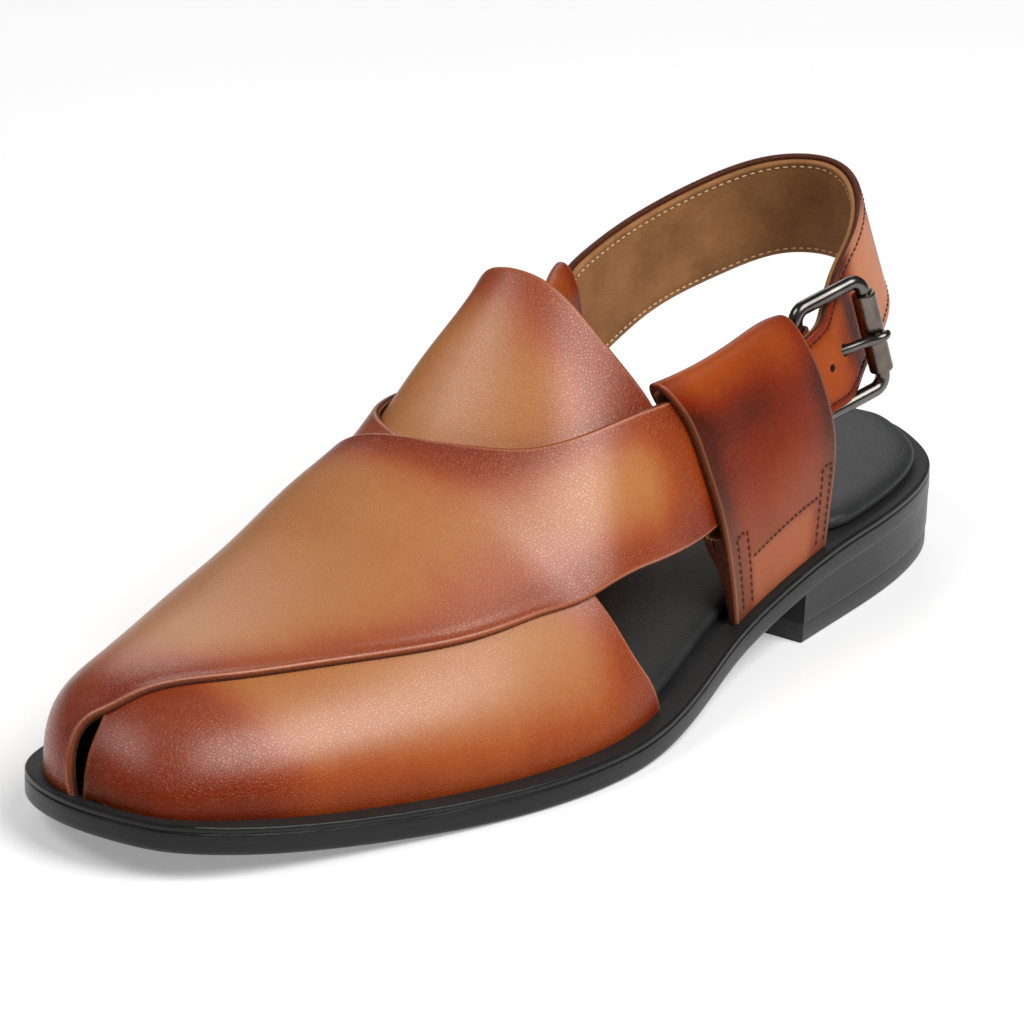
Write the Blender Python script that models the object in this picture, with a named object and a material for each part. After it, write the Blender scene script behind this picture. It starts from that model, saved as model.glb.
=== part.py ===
# Peshawari chappal, left shoe: crossed vamp bands, folded side loops and a buckled heel strap
# on a low heeled leather sole. Lengths are in millimetres and become metres in add_solid.
# Toe at -Y, heel at +Y, the wearer's outer (lateral) side at +X, ground at Z = 0.
import math

import bpy
import numpy as np

# ---------------------------------------------------------------- driving sizes
MM = 0.001
GAP = 0.3                  # air between pieces that touch
SHOE_LENGTH = 302.0
HEEL_LIFT = 13.8           # underside of the outsole above the ground at the heel
TOE_SPRING = 8.0
SOLE_EDGE = 7.2            # height of the outsole's edge
TOE_POINT_X = -11.0        # the toe's tip lies to the inner side of the heel's middle
CENTER_X = 0.08            # middle of the sole's width, which becomes X = 0
HEEL_BREAST_Y = 56.8
TOP_LIFT = 5.0
WELT_MARGIN = 6.8          # sole edge to the inside of the upper
INSOLE_MARGIN = WELT_MARGIN + 0.6
INSOLE_WIDENS = 3.6        # how much nearer the edge the insole comes behind the side loops
INSOLE_WIDENS_Y = 72.0
INSOLE_WIDENS_RUN = 10.0
TOE_TIP_Y = -145.5         # where the last touches the sole at the toe
LAST_END_Y = 75.0
LEATHER = 1.8
TONGUE_GAP = 0.75          # its facets bend a little differently from the bands'
SHOULDER_DROP = 2.6        # the hump's medial shoulder sinks below the last
BAND_OVERLAP_LIFT = 1.2    # the over band's inner face where it rides on the under band
OVER_BAND = 2.2
OVER_SLIT_FOOT = -16.4     # X of the toe slit's two edges where they meet the sole
UNDER_SLIT_FOOT = -15.2
STRAP_THICKNESS = 3.3

# outline of the sole: share of the length from the toe, half widths either side of the middle line
OUTLINE_COLUMNS = ("station", "lateral", "medial")
OUTLINE = np.array([
    (0.000, 0.0, 0.0), (0.008, 15.6, 13.6), (0.025, 22.5, 24.0), (0.060, 29.6, 34.0),
    (0.110, 36.2, 40.9), (0.180, 43.5, 47.5), (0.260, 50.7, 51.7), (0.340, 55.1, 51.1),
    (0.420, 54.7, 46.1), (0.500, 50.2, 39.1), (0.580, 44.3, 33.9), (0.660, 41.4, 32.1),
    (0.740, 39.5, 32.6), (0.820, 37.3, 35.1), (0.890, 32.9, 35.2), (0.950, 23.8, 27.9),
    (0.985, 11.2, 17.0), (1.000, 0.0, 0.0)])

# sections of the last: rise of the crest above the insole, crest's X and the fullness of each side
LAST_COLUMNS = ("y", "rise", "crest_x", "full_lateral", "full_medial")
LAST = np.array([
    (-145.5, 0.0, -11.0, 2.10, 2.75), (-143.5, 8.0, -15.5, 2.10, 2.80),
    (-139.0, 14.5, -16.5, 2.05, 2.85), (-131.0, 20.5, -16.0, 2.05, 2.95),
    (-118.0, 24.5, -14.5, 2.05, 2.85), (-100.0, 29.0, -13.0, 2.10, 2.75),
    (-80.0, 34.5, -12.5, 2.00, 2.80), (-60.0, 42.0, -13.0, 1.80, 2.80),
    (-42.0, 51.0, -13.5, 1.60, 2.90), (-28.0, 58.5, -13.0, 1.60, 2.90),
    (-14.0, 72.5, -13.0, 1.70, 2.85), (0.0, 87.0, -12.0, 1.65, 2.75),
    (20.0, 100.0, -9.5, 1.70, 2.70), (45.0, 112.0, -7.5, 1.75, 2.65),
    (75.0, 118.0, -5.0, 1.80, 2.60)])

# leather edges on the last: girth from the crest line (lateral plus) and y along the shoe
EDGE_COLUMNS = ("across", "y")
OVER_BAND_FRONT = [(-3.4, -144.0), (-3.05, -142.0), (-2.7, -140.3), (-1.5, -138.5),
                   (1.5, -135.9), (3.9, -131.9), (6.1, -127.0), (14.2, -113.4),
                   (26.6, -92.0), (40.3, -68.0), (49.0, -50.0), (54.8, -34.5),
                   (62.6, -21.0), (77.4, -3.4), (90.0, 17.0), (97.0, 34.0)]
OVER_BAND_REAR = [(-65.0, -15.0), (-47.0, -23.0), (-34.0, -28.5), (-22.0, -31.5), (-8.0, -31.0),
                  (5.0, -29.0), (13.0, -26.0), (28.0, -18.5), (40.0, -8.0), (50.0, 6.0),
                  (58.0, 20.0), (67.0, 38.0)]
UNDER_BAND_FRONT = [(-0.8, -144.4), (0.0, -142.6), (0.0, -138.0), (-3.0, -132.0),
                    (-14.0, -112.0), (-30.0, -75.0), (-46.0, -33.0), (-56.0, -17.0),
                    (-69.0, -5.0), (-83.0, 10.0), (-92.0, 38.0)]
UNDER_BAND_REAR = [(91.0, -17.0), (80.0, -21.0), (68.0, -23.5), (45.0, -27.5), (15.0, -31.0),
                   (0.0, -30.5), (-11.0, -26.5), (-23.0, -16.0), (-32.0, -7.0), (-42.0, 3.0),
                   (-52.0, 15.0), (-58.0, 24.0), (-66.0, 38.0)]
OVER_BAND_HEEL_Y = -8.0    # where the over band leaves the sole on the medial side
UNDER_BAND_HEEL_Y = -14.0  # where the under band leaves it on the lateral side
TONGUE_REAR = [(-57.0, 17.5), (-48.0, 16.0), (-37.0, 12.5), (-24.0, 7.2), (-12.0, 3.3),
               (0.0, 2.9), (10.0, 4.8), (20.0, 6.2), (30.0, 7.4), (40.0, 9.5), (49.0, 12.0),
               (58.0, 14.4)]
TONGUE_FRONT = [(-42.0, -38.0), (-22.0, -47.0), (0.0, -50.0), (22.0, -47.0), (45.0, -36.0)]
TONGUE_MEDIAL = [(-42.0, -38.0), (-55.0, -18.0), (-59.0, 2.0), (-57.0, 17.5)]
TONGUE_LATERAL = [(45.0, -36.0), (57.0, -18.0), (60.5, -2.0), (58.0, 14.4)]

# side loops: share of the height, y of the front edge and of the rear edge, and how far the
# rear of the loop stands off the last, pulled out by the heel strap
LOOP_COLUMNS = ("share", "front", "rear", "lean")
LATERAL_LOOP = np.array([(0.00, 26.0, 70.0, 0.0), (0.20, 24.5, 72.5, 0.2),
                         (0.45, 22.5, 73.0, 1.6), (0.65, 20.0, 70.5, 1.7),
                         (0.85, 17.5, 66.5, 1.0), (1.00, 13.0, 62.0, 0.2)])
MEDIAL_LOOP = np.array([(0.00, 33.0, 70.0, 0.0), (0.20, 31.0, 71.5, 1.6),
                        (0.45, 28.5, 68.0, 4.6), (0.65, 25.5, 62.0, 6.8),
                        (0.85, 22.5, 58.8, 8.5), (1.00, 18.5, 58.0, 9.4)])
LEAN_START_Y = 34.0
LEAN_END_Y = 62.0
# top of each fold: y along the shoe and height above the ground
LATERAL_FOLD = np.array([(11.0, 75.0), (23.0, 75.8), (33.0, 76.8), (44.0, 78.4), (57.0, 80.0),
                         (66.0, 79.0)])
MEDIAL_FOLD = np.array([(18.0, 71.5), (32.0, 75.2), (43.0, 78.6), (50.0, 79.8), (56.0, 80.2),
                        (63.0, 80.6)])
LOOP_COLUMN_COUNT = 8

# a loop's section: share of the height and distance above the last, outside and inside the pocket;
# the pocket's inner wall lies deeper on the lateral side, where the buckle's tab goes in too
SECTION_COLUMNS = ("share", "out", "pocket_share", "pocket_out")
LOOP_SECTION = np.array([
    (0.000, 4.3, 0.352, 1.1), (0.130, 4.3, 0.353, 1.9), (0.330, 4.3, 0.365, 2.6),
    (0.520, 4.3, 0.520, 2.6), (0.720, 4.3, 0.720, 2.6), (0.880, 4.3, 0.880, 2.6),
    (0.950, 4.0, 0.935, 2.4), (0.985, 3.2, 0.957, 1.9), (1.000, 1.8, 0.966, 1.1)])
INNER_SECTION = np.array([
    (0.997, 0.2, 0.965, 0.2), (0.980, -1.2, 0.955, -0.7), (0.945, -2.3, 0.930, -1.2),
    (0.880, -2.9, 0.880, -1.5), (0.720, -3.0, 0.720, -1.5), (0.520, -3.0, 0.520, -1.5),
    (0.345, -2.4, 0.370, -1.2), (0.190, -0.5, 0.356, -0.5), (0.105, 0.5, 0.352, 0.1),
    (0.000, 0.5, 0.352, 0.6)])
LATERAL_ROOM = 2.3         # for the buckle's tab
LATERAL_SETBACK = 4.5      # the inner leaf ends short of the tab's turn round the buckle's bar
MEDIAL_ROOM = 0.8

# heel strap's outer face: upper edge and lower edge, from the medial loop round the heel
STRAP_COLUMNS = ("x_top", "y_top", "z_top", "x_low", "y_low", "z_low")
HEEL_STRAP = np.array([
    (-34.8, 83.6, 84.6, -33.8, 90.8, 58.6), (-27.6, 106.5, 91.2, -28.5, 115.8, 64.0),
    (-16.0, 121.0, 96.0, -18.0, 129.5, 68.4), (-1.5, 126.0, 96.9, -2.4, 132.6, 69.5),
    (12.5, 117.6, 94.0, 14.6, 126.4, 67.3), (22.4, 100.2, 87.9, 26.0, 109.6, 61.9)])
# through the buckle, in the buckle's own directions: along, up and out from its front bar
THREADED_COLUMNS = ("along_top", "up_top", "out_top", "along_low", "up_low", "out_low")
THREADED_STRAP = np.array([
    (17.0, 15.6, -3.6, 18.6, -10.8, -3.7), (9.8, 11.6, 1.0, 12.2, -11.9, 1.3),
    (3.4, 10.6, 5.6, 6.0, -11.8, 5.2), (-2.4, 10.0, 7.3, 0.4, -11.4, 6.9)])
# strap's ends in the pockets: y and height of the upper edge and of the lower edge
END_COLUMNS = ("y_top", "z_top", "y_low", "z_low")
MEDIAL_END = np.array([(49.0, 74.0, 49.0, 47.5), (60.0, 77.4, 60.0, 50.2),
                       (70.0, 80.2, 72.0, 53.4)])
LATERAL_END = np.array([(60.5, 69.0, 66.5, 48.5), (54.5, 67.0, 60.5, 45.5)])
MEDIAL_STRAP_OUT = 2.2     # strap's outer face above the last inside each pocket
LATERAL_STRAP_OUT = 2.4

# buckle: middle of its front bar and the directions of its frame
BUCKLE_BAR = np.array([26.6, 74.6, 62.9])
BUCKLE_ALONG = np.array([0.2958, 0.9236, 0.2437])
BUCKLE_UP = np.array([-0.1681, -0.2008, 0.9651])
BUCKLE_LENGTH = 20.9       # front bar to rear bar
BUCKLE_HEIGHT = 28.7       # upper bar to lower bar
BUCKLE_CORNER = 3.5
WIRE_RADIUS = 1.8
ROLLER_RADIUS = 2.95
ROLLER_LENGTH = 20.8
PRONG_RADIUS = 1.25
TAB_THICKNESS = 0.8        # pared thin, and double in the pocket
TAB_WIDTH = 19.4


# ---------------------------------------------------------------- curves
def smooth_curve(knots, values):
    """Natural cubic spline through the knots."""
    x = np.asarray(knots, float)
    y = np.asarray(values, float)
    count = len(x)
    step = np.diff(x)
    matrix = np.eye(count)
    right = np.zeros(count)
    for i in range(1, count - 1):
        matrix[i, i - 1:i + 2] = step[i - 1], 2.0 * (step[i - 1] + step[i]), step[i]
        right[i] = 6.0 * ((y[i + 1] - y[i]) / step[i] - (y[i] - y[i - 1]) / step[i - 1])
    bend = np.linalg.solve(matrix, right)

    def value(query):
        query = np.clip(query, x[0], x[-1])
        i = np.clip(np.searchsorted(x, query) - 1, 0, count - 2)
        a = (x[i + 1] - query) / step[i]
        b = 1.0 - a
        cubic = ((a ** 3 - a) * bend[i] + (b ** 3 - b) * bend[i + 1]) * step[i] ** 2 / 6.0
        return a * y[i] + b * y[i + 1] + cubic
    return value


def curve_through(rows, count):
    """Evenly spaced points on a smooth curve through the rows."""
    rows = np.asarray(rows, float)
    chord = np.concatenate([[0.0], np.cumsum(np.linalg.norm(np.diff(rows, axis=0), axis=1))])
    dense = np.linspace(0.0, chord[-1], 20 * count)
    line = np.stack([smooth_curve(chord, column)(dense) for column in rows.T], axis=1)
    run = np.concatenate([[0.0], np.cumsum(np.linalg.norm(np.diff(line, axis=0), axis=1))])
    even = np.linspace(0.0, run[-1], count)
    return np.stack([np.interp(even, run, column) for column in line.T], axis=1)


def ease(t):
    t = np.clip(t, 0.0, 1.0)
    return t * t * (3.0 - 2.0 * t)


# ---------------------------------------------------------------- sole shape
def sole_underside(y):
    """Height of the outsole's underside: toe spring, flat tread, then the waist's lift."""
    station = y / SHOE_LENGTH + 0.5
    spring = TOE_SPRING * np.clip((0.30 - station) / 0.30, 0.0, 1.0) ** 2
    return spring + HEEL_LIFT * ease((station - 0.38) / 0.40)


def sole_top(y):
    return sole_underside(y) + SOLE_EDGE


def outline_halves(margin):
    """Lateral and medial halves of the sole's outline moved inward by the margin, toe to heel."""
    turn = np.arccos(1.0 - 2.0 * OUTLINE[:, 0])
    angle = np.linspace(0.0, math.pi, 400)
    station = (1.0 - np.cos(angle)) / 2.0
    y = (station - 0.5) * SHOE_LENGTH
    middle = TOE_POINT_X * np.clip(1.0 - station / 0.45, 0.0, 1.0) ** 1.5
    lateral = np.stack([middle + smooth_curve(turn, OUTLINE[:, 1])(angle), y], axis=1)
    medial = np.stack([middle - smooth_curve(turn, OUTLINE[:, 2])(angle), y], axis=1)
    loop = np.concatenate([lateral, medial[-2:0:-1]])
    along = np.roll(loop, -1, axis=0) - np.roll(loop, 1, axis=0)
    along /= np.linalg.norm(along, axis=1)[:, None]
    loop = loop + margin * np.stack([-along[:, 1], along[:, 0]], axis=1)
    loop = np.roll(loop, -loop[:, 1].argmin(), axis=0)
    heel = loop[:, 1].argmax()
    return loop[:heel + 1], np.concatenate([loop[heel:], loop[:1]])[::-1]


def sole_ring(margin, stations, start_y=None):
    """Ring of (x, y) points: out along the lateral side, back along the medial side."""
    lateral, medial = outline_halves(margin)
    share = np.linspace(0.0, 1.0, stations)
    first, end = lateral[0, 1], lateral[-1, 1]
    if start_y is None:
        y = first + (end - first) * (1.0 - np.cos(math.pi * share)) / 2.0
    else:
        y = start_y + (end - start_y) * np.sin(math.pi / 2.0 * share)
    x_lateral = np.interp(y, lateral[:, 1], lateral[:, 0])
    x_medial = np.interp(y, medial[:, 1], medial[:, 0])
    out = [(x_lateral[i], y[i]) for i in range(stations)]
    closed_toe = 1 if start_y is None else 0
    back = [(x_medial[i], y[i]) for i in range(stations - 2, closed_toe - 1, -1)]
    return out + back


def insole_ring(margin, stations, start_y=None):
    """The sole's ring moved inward, which widens toward the edge behind the side loops."""
    narrow = np.array(sole_ring(margin, stations, start_y))
    wide = np.array(sole_ring(margin - INSOLE_WIDENS, stations, start_y))
    share = ease((narrow[:, 1:] - INSOLE_WIDENS_Y) / INSOLE_WIDENS_RUN)
    return (narrow + share * (wide - narrow)).tolist()


def stacked_sole(levels, stations, start_y=None, ring=sole_ring):
    """Solid from rings stacked upward; a level is a margin and a height function of y."""
    rings = [[(x, y, float(height(y))) for x, y in ring(margin, stations, start_y)]
             for margin, height in levels]
    size = len(rings[0])
    points = [p for ring in rings for p in ring]
    faces = []
    for level in range(len(rings) - 1):
        for i in range(size):
            a, b = level * size + i, level * size + (i + 1) % size
            faces.append((a, b, b + size, a + size))
    shift = 0 if start_y is None else 1
    last_ring = (len(rings) - 1) * size
    for i in range(stations - 1):
        pair = (i, (size - shift - i) % size), (i + 1, (size - shift - i - 1) % size)
        quad = [pair[0][0], pair[0][1], pair[1][1], pair[1][0]]
        quad = [k for n, k in enumerate(quad) if k not in quad[:n]]
        if len(quad) > 2:
            faces.append(tuple(quad))
            faces.append(tuple(last_ring + k for k in reversed(quad)))
    return points, faces


# ---------------------------------------------------------------- the last
GIRTH_SAMPLES = 49
LAST_LATERAL, LAST_MEDIAL = outline_halves(WELT_MARGIN)
TOE_SETBACK = LAST_LATERAL[0, 1] - TOE_TIP_Y


def toe_share(y):
    """Square-root spacing from the toe's tip, which keeps the toe round."""
    return np.sqrt(np.clip((y - TOE_TIP_Y) / (LAST_END_Y - TOE_TIP_Y), 0.0, 1.0))


LAST_SHARE = toe_share(LAST[:, 0])
crest_rise, crest_x, full_lateral, full_medial = [
    smooth_curve(LAST_SHARE, LAST[:, k]) for k in range(1, 5)]


def feather_x(y):
    """X of the last's lower edge on the lateral and on the medial side."""
    moved = y + TOE_SETBACK * np.clip(1.0 - (y - TOE_TIP_Y) / 20.0, 0.0, 1.0)
    return (np.interp(moved, LAST_LATERAL[:, 1], LAST_LATERAL[:, 0]),
            np.interp(moved, LAST_MEDIAL[:, 1], LAST_MEDIAL[:, 0]))


def last_sections(y):
    """X, Z and girth from the crest of each section, from the medial to the lateral side."""
    y = np.asarray(y, float)
    turn = np.linspace(math.pi, 0.0, GIRTH_SAMPLES)
    cosine, sine = np.cos(turn), np.abs(np.sin(turn))
    share = toe_share(y)
    x_lateral, x_medial = feather_x(y)
    side_x = np.where(cosine > 0.0, x_lateral[..., None], x_medial[..., None])
    full = np.where(cosine > 0.0, full_lateral(share)[..., None], full_medial(share)[..., None])
    crest = crest_x(share)[..., None]
    x = crest + (side_x - crest) * np.abs(cosine) ** (2.0 / full)
    z = (sole_top(y) + GAP)[..., None] + crest_rise(share)[..., None] * sine ** (2.0 / full)
    step = np.hypot(np.diff(x, axis=-1), np.diff(z, axis=-1))
    girth = np.concatenate([np.zeros(y.shape + (1,)), np.cumsum(step, axis=-1)], axis=-1)
    return x, z, girth - girth[..., GIRTH_SAMPLES // 2, None]


def last_point(y, across):
    """Point of the last at y, a girth away from the crest line."""
    y, across = np.broadcast_arrays(np.asarray(y, float), np.asarray(across, float))
    x, z, girth = last_sections(y)
    k = np.clip((girth < across[..., None]).sum(axis=-1) - 1, 0, GIRTH_SAMPLES - 2)[..., None]
    low = np.take_along_axis(girth, k, -1)[..., 0]
    high = np.take_along_axis(girth, k + 1, -1)[..., 0]
    share = np.clip((across - low) / np.maximum(high - low, 1e-9), 0.0, 1.0)

    def between(row):
        start = np.take_along_axis(row, k, -1)[..., 0]
        return start + share * (np.take_along_axis(row, k + 1, -1)[..., 0] - start)
    return np.stack([between(x), y, between(z)], axis=-1)


def half_girths(y):
    """Girth coordinate of the medial and of the lateral lower edge."""
    girth = last_sections(y)[2]
    return girth[..., 0], girth[..., -1]


def last_normal(y, across):
    y = np.asarray(y, float)
    reach = 0.4
    medial, lateral = half_girths(y)
    along = (last_point(np.minimum(y + reach, LAST_END_Y), across)
             - last_point(np.maximum(y - reach, TOE_TIP_Y + 0.01), across))
    around = (last_point(y, np.minimum(across + reach, lateral))
              - last_point(y, np.maximum(across - reach, medial)))
    normal = np.cross(around, along)
    return normal / np.linalg.norm(normal, axis=-1)[..., None]


def above_last(y, across, height):
    """Point above the last, measured square to it and kept clear of the sole."""
    point = last_point(y, across) + last_normal(y, across) * np.asarray(height)[..., None]
    point[..., 2] = np.maximum(point[..., 2], sole_top(point[..., 1]) + GAP)
    return point


# ---------------------------------------------------------------- meshes
def add_solid(name, points, faces, color, roughness=0.5, metallic=0.0, sharp=35.0):
    mesh = bpy.data.meshes.new(name)
    placed = (np.asarray(points, float) - (CENTER_X, 0.0, 0.0)) * MM
    mesh.from_pydata(placed.tolist(), [], faces)
    mesh.validate()
    mesh.shade_smooth()
    mesh.set_sharp_from_angle(angle=math.radians(sharp))
    material = bpy.data.materials.new(name)
    material.use_nodes = True
    shader = material.node_tree.nodes["Principled BSDF"]
    shader.inputs["Base Color"].default_value = (*color, 1.0)
    shader.inputs["Roughness"].default_value = roughness
    shader.inputs["Metallic"].default_value = metallic
    mesh.materials.append(material)
    solid = bpy.data.objects.new(name, mesh)
    bpy.context.collection.objects.link(solid)
    return solid


def outward(points, faces):
    """The faces, turned over if they enclose a negative volume."""
    points = np.asarray(points, float)
    volume = 0.0
    for face in faces:
        for k in range(1, len(face) - 1):
            a, b, c = points[face[0]], points[face[k]], points[face[k + 1]]
            volume += float(np.dot(a, np.cross(b, c)))
    return faces if volume > 0.0 else [tuple(reversed(face)) for face in faces]


def sheet_solid(outer, inner):
    """Closed solid between two grids of points with the same rows and columns."""
    rows, columns = outer.shape[:2]
    points = np.concatenate([outer.reshape(-1, 3), inner.reshape(-1, 3)])
    under = rows * columns
    faces = []
    for i in range(rows - 1):
        for j in range(columns - 1):
            a = i * columns + j
            quad = (a, a + 1, a + columns + 1, a + columns)
            faces.append(quad)
            faces.append(tuple(under + k for k in reversed(quad)))
    rim = [j for j in range(columns)]
    rim += [i * columns + columns - 1 for i in range(1, rows)]
    rim += [(rows - 1) * columns + j for j in range(columns - 2, -1, -1)]
    rim += [i * columns for i in range(rows - 2, 0, -1)]
    for n, a in enumerate(rim):
        b = rim[(n + 1) % len(rim)]
        faces.append((b, a, under + a, under + b))
    return points, outward(points, faces)


def ring_solid(sections):
    """Closed solid from rings of points in a row, with flat fans at both ends."""
    sections = np.asarray(sections, float)
    rows, size = sections.shape[:2]
    points = sections.reshape(-1, 3)
    faces = []
    for i in range(rows - 1):
        for j in range(size):
            a, b = i * size + j, i * size + (j + 1) % size
            faces.append((a, b, b + size, a + size))
    faces.append(tuple(reversed(range(size))))
    faces.append(tuple((rows - 1) * size + j for j in range(size)))
    return points, outward(points, faces)


def hoop_solid(sections):
    """Closed solid from rings of points that meet again in a loop."""
    sections = np.asarray(sections, float)
    rows, size = sections.shape[:2]
    points = sections.reshape(-1, 3)
    faces = []
    for i in range(rows):
        for j in range(size):
            a, b = i * size + j, i * size + (j + 1) % size
            c, d = ((i + 1) % rows) * size + (j + 1) % size, ((i + 1) % rows) * size + j
            faces.append((a, b, c, d))
    return points, outward(points, faces)


def tube_solid(outer, inner):
    """Closed solid between rings of points and the rings of its bore, open at both ends."""
    rows, size = outer.shape[:2]
    points = np.concatenate([outer.reshape(-1, 3), inner.reshape(-1, 3)])
    bore = rows * size
    faces = []
    for i in range(rows - 1):
        for j in range(size):
            a, b = i * size + j, i * size + (j + 1) % size
            quad = (a, b, b + size, a + size)
            faces.append(quad)
            faces.append(tuple(bore + k for k in reversed(quad)))
    last_row = (rows - 1) * size
    for j in range(size):
        k = (j + 1) % size
        faces.append((k, j, bore + j, bore + k))
        faces.append((last_row + j, last_row + k, bore + last_row + k, bore + last_row + j))
    return points, outward(points, faces)


def boolean(target, cutter, operation):
    cutter.hide_render = True
    cutter.display_type = "WIRE"
    change = target.modifiers.new(operation.title(), "BOOLEAN")
    change.object = cutter
    change.operation = operation
    change.solver = "EXACT"


def unit(vector):
    vector = np.asarray(vector, float)
    return vector / np.linalg.norm(vector, axis=-1, keepdims=True)


# ---------------------------------------------------------------- leather panels
def coons_grid(front, rear, start, end):
    """Grid of pattern points between four edges: front and rear run along, start and end across."""
    along = np.linspace(0.0, 1.0, len(front))[:, None, None]
    over = np.linspace(0.0, 1.0, len(start))[None, :, None]
    ruled_over = (1.0 - over) * front[:, None] + over * rear[:, None]
    ruled_along = (1.0 - along) * start[None] + along * end[None]
    corners = ((1.0 - along) * (1.0 - over) * front[0] + (1.0 - along) * over * rear[0]
               + along * (1.0 - over) * front[-1] + along * over * rear[-1])
    return ruled_over + ruled_along - corners


def feather_edge(side, heel_y, count):
    """Pattern points along the last's lower edge, from the toe slit back to heel_y."""
    tip = TOE_TIP_Y + 0.01
    near = np.linspace(tip, tip + 3.0, 300)
    foot = OVER_SLIT_FOOT if side < 0 else UNDER_SLIT_FOOT
    foot_y = float(np.interp(-foot, -feather_x(near)[1], near))
    first = foot_y if side < 0 else tip
    y = first + (heel_y - first) * np.linspace(0.0, 1.0, 400) ** 2
    line = np.stack([half_girths(y)[0 if side < 0 else 1], y], axis=1)
    if side > 0:
        y = np.linspace(foot_y, tip, 40)
        line = np.concatenate([np.stack([half_girths(y)[0], y], axis=1), line])
    run = np.concatenate([[0.0], np.cumsum(np.linalg.norm(np.diff(line, axis=0), axis=1))])
    at = np.linspace(0.0, run[-1], count)
    return np.stack([np.interp(at, run, line[:, 0]), np.interp(at, run, line[:, 1])], axis=1)


def band_grid(side, heel_y, front_rows, rear_rows, along, over):
    """Pattern grid of one vamp band, from the toe slit and the sole's edge to the wing's end."""
    start = feather_edge(side, heel_y, over)
    front = curve_through([tuple(start[0])] + front_rows, along)
    rear = curve_through([tuple(start[-1])] + rear_rows, along)
    end = curve_through([tuple(front[-1]), tuple(rear[-1])], over)
    return coons_grid(front, rear, start, end)


def over_band_lift(across, y):
    """Height of the over band's inner face: it rides on the under band and settles beside it."""
    hidden = np.asarray(UNDER_BAND_FRONT)
    order = np.argsort(hidden[:, 1])
    edge = np.interp(y, hidden[order, 1], hidden[order, 0])
    beside = ease((across - edge + 18.0) / 20.0)
    behind = 1.0 - ease((y + 26.0) / 30.0)
    return BAND_OVERLAP_LIFT * beside * behind


def make_upper():
    over = band_grid(-1, OVER_BAND_HEEL_Y, OVER_BAND_FRONT, OVER_BAND_REAR, 36, 22)
    across, y = over[..., 0], over[..., 1]
    lift = over_band_lift(across, y)
    points, faces = sheet_solid(above_last(y, across, lift + OVER_BAND),
                                above_last(y, across, lift))
    upper = add_solid("upper", points, faces, (0.46, 0.16, 0.05), 0.4)
    under = band_grid(1, UNDER_BAND_HEEL_Y, UNDER_BAND_FRONT, UNDER_BAND_REAR, 34, 17)
    across, y = under[..., 0], under[..., 1]
    points, faces = sheet_solid(above_last(y, across, np.full(y.shape, LEATHER)),
                                above_last(y, across, np.zeros(y.shape)))
    boolean(upper, add_solid("under_band", points, faces, (0.46, 0.16, 0.05), 0.4), "UNION")


def make_tongue():
    front = curve_through(TONGUE_FRONT, 16)
    rear = curve_through(TONGUE_REAR, 16)
    grid = coons_grid(front, rear, curve_through(TONGUE_MEDIAL, 12),
                      curve_through(TONGUE_LATERAL, 12))
    across, y = grid[..., 0], grid[..., 1]
    sunk = TONGUE_GAP + SHOULDER_DROP * np.exp(-((across + 18.0) / 14.0) ** 2
                                               - ((y + 1.0) / 8.5) ** 2)
    points, faces = sheet_solid(above_last(y, across, -sunk),
                                above_last(y, across, -sunk - LEATHER))
    add_solid("tongue", points, faces, (0.45, 0.15, 0.05), 0.4)


# ---------------------------------------------------------------- sole pieces
def above_underside(height):
    return lambda y: sole_underside(y) + height


def above_sole(height):
    return lambda y: sole_top(y) + height


def thinned_at_toe(height):
    """Height above the sole, with the padding pared toward the toe's tip."""
    return lambda y: sole_top(y) + GAP + (height - GAP) * (0.5 + 0.5 * ease((y + 144.0) / 14.0))


def level_height(height):
    return lambda y: height


def make_sole():
    edge = [(1.6, 0.0), (0.4, 0.8), (0.0, 2.2), (0.0, 5.0), (0.7, 5.3), (0.7, 5.7),
            (0.1, 6.0), (0.1, 6.8), (0.5, SOLE_EDGE)]
    points, faces = stacked_sole([(m, above_underside(h)) for m, h in edge], 34)
    add_solid("outsole", points, outward(points, faces), (0.012, 0.011, 0.011), 0.35)
    block = [(0.9, level_height(TOP_LIFT + GAP)), (0.5, level_height(TOP_LIFT + 1.0)),
             (0.3, lambda y: sole_underside(y) - 1.2), (0.6, lambda y: sole_underside(y) - GAP)]
    points, faces = stacked_sole(block, 16, HEEL_BREAST_Y)
    add_solid("heel", points, outward(points, faces), (0.012, 0.011, 0.011), 0.35)
    lift = [(1.4, 0.0), (0.6, 0.7), (0.6, TOP_LIFT)]
    points, faces = stacked_sole([(m, level_height(h)) for m, h in lift], 16, HEEL_BREAST_Y)
    add_solid("top_lift", points, outward(points, faces), (0.02, 0.019, 0.019), 0.5)


def make_insole():
    pad = [(1.2, GAP), (0.3, 1.0), (0.3, 2.0), (0.9, 3.0), (2.2, 3.7), (5.0, 4.1)]
    points, faces = stacked_sole([(INSOLE_MARGIN + m, thinned_at_toe(h)) for m, h in pad], 38,
                                 ring=insole_ring)
    add_solid("insole", points, outward(points, faces), (0.02, 0.02, 0.022), 0.55)


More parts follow.
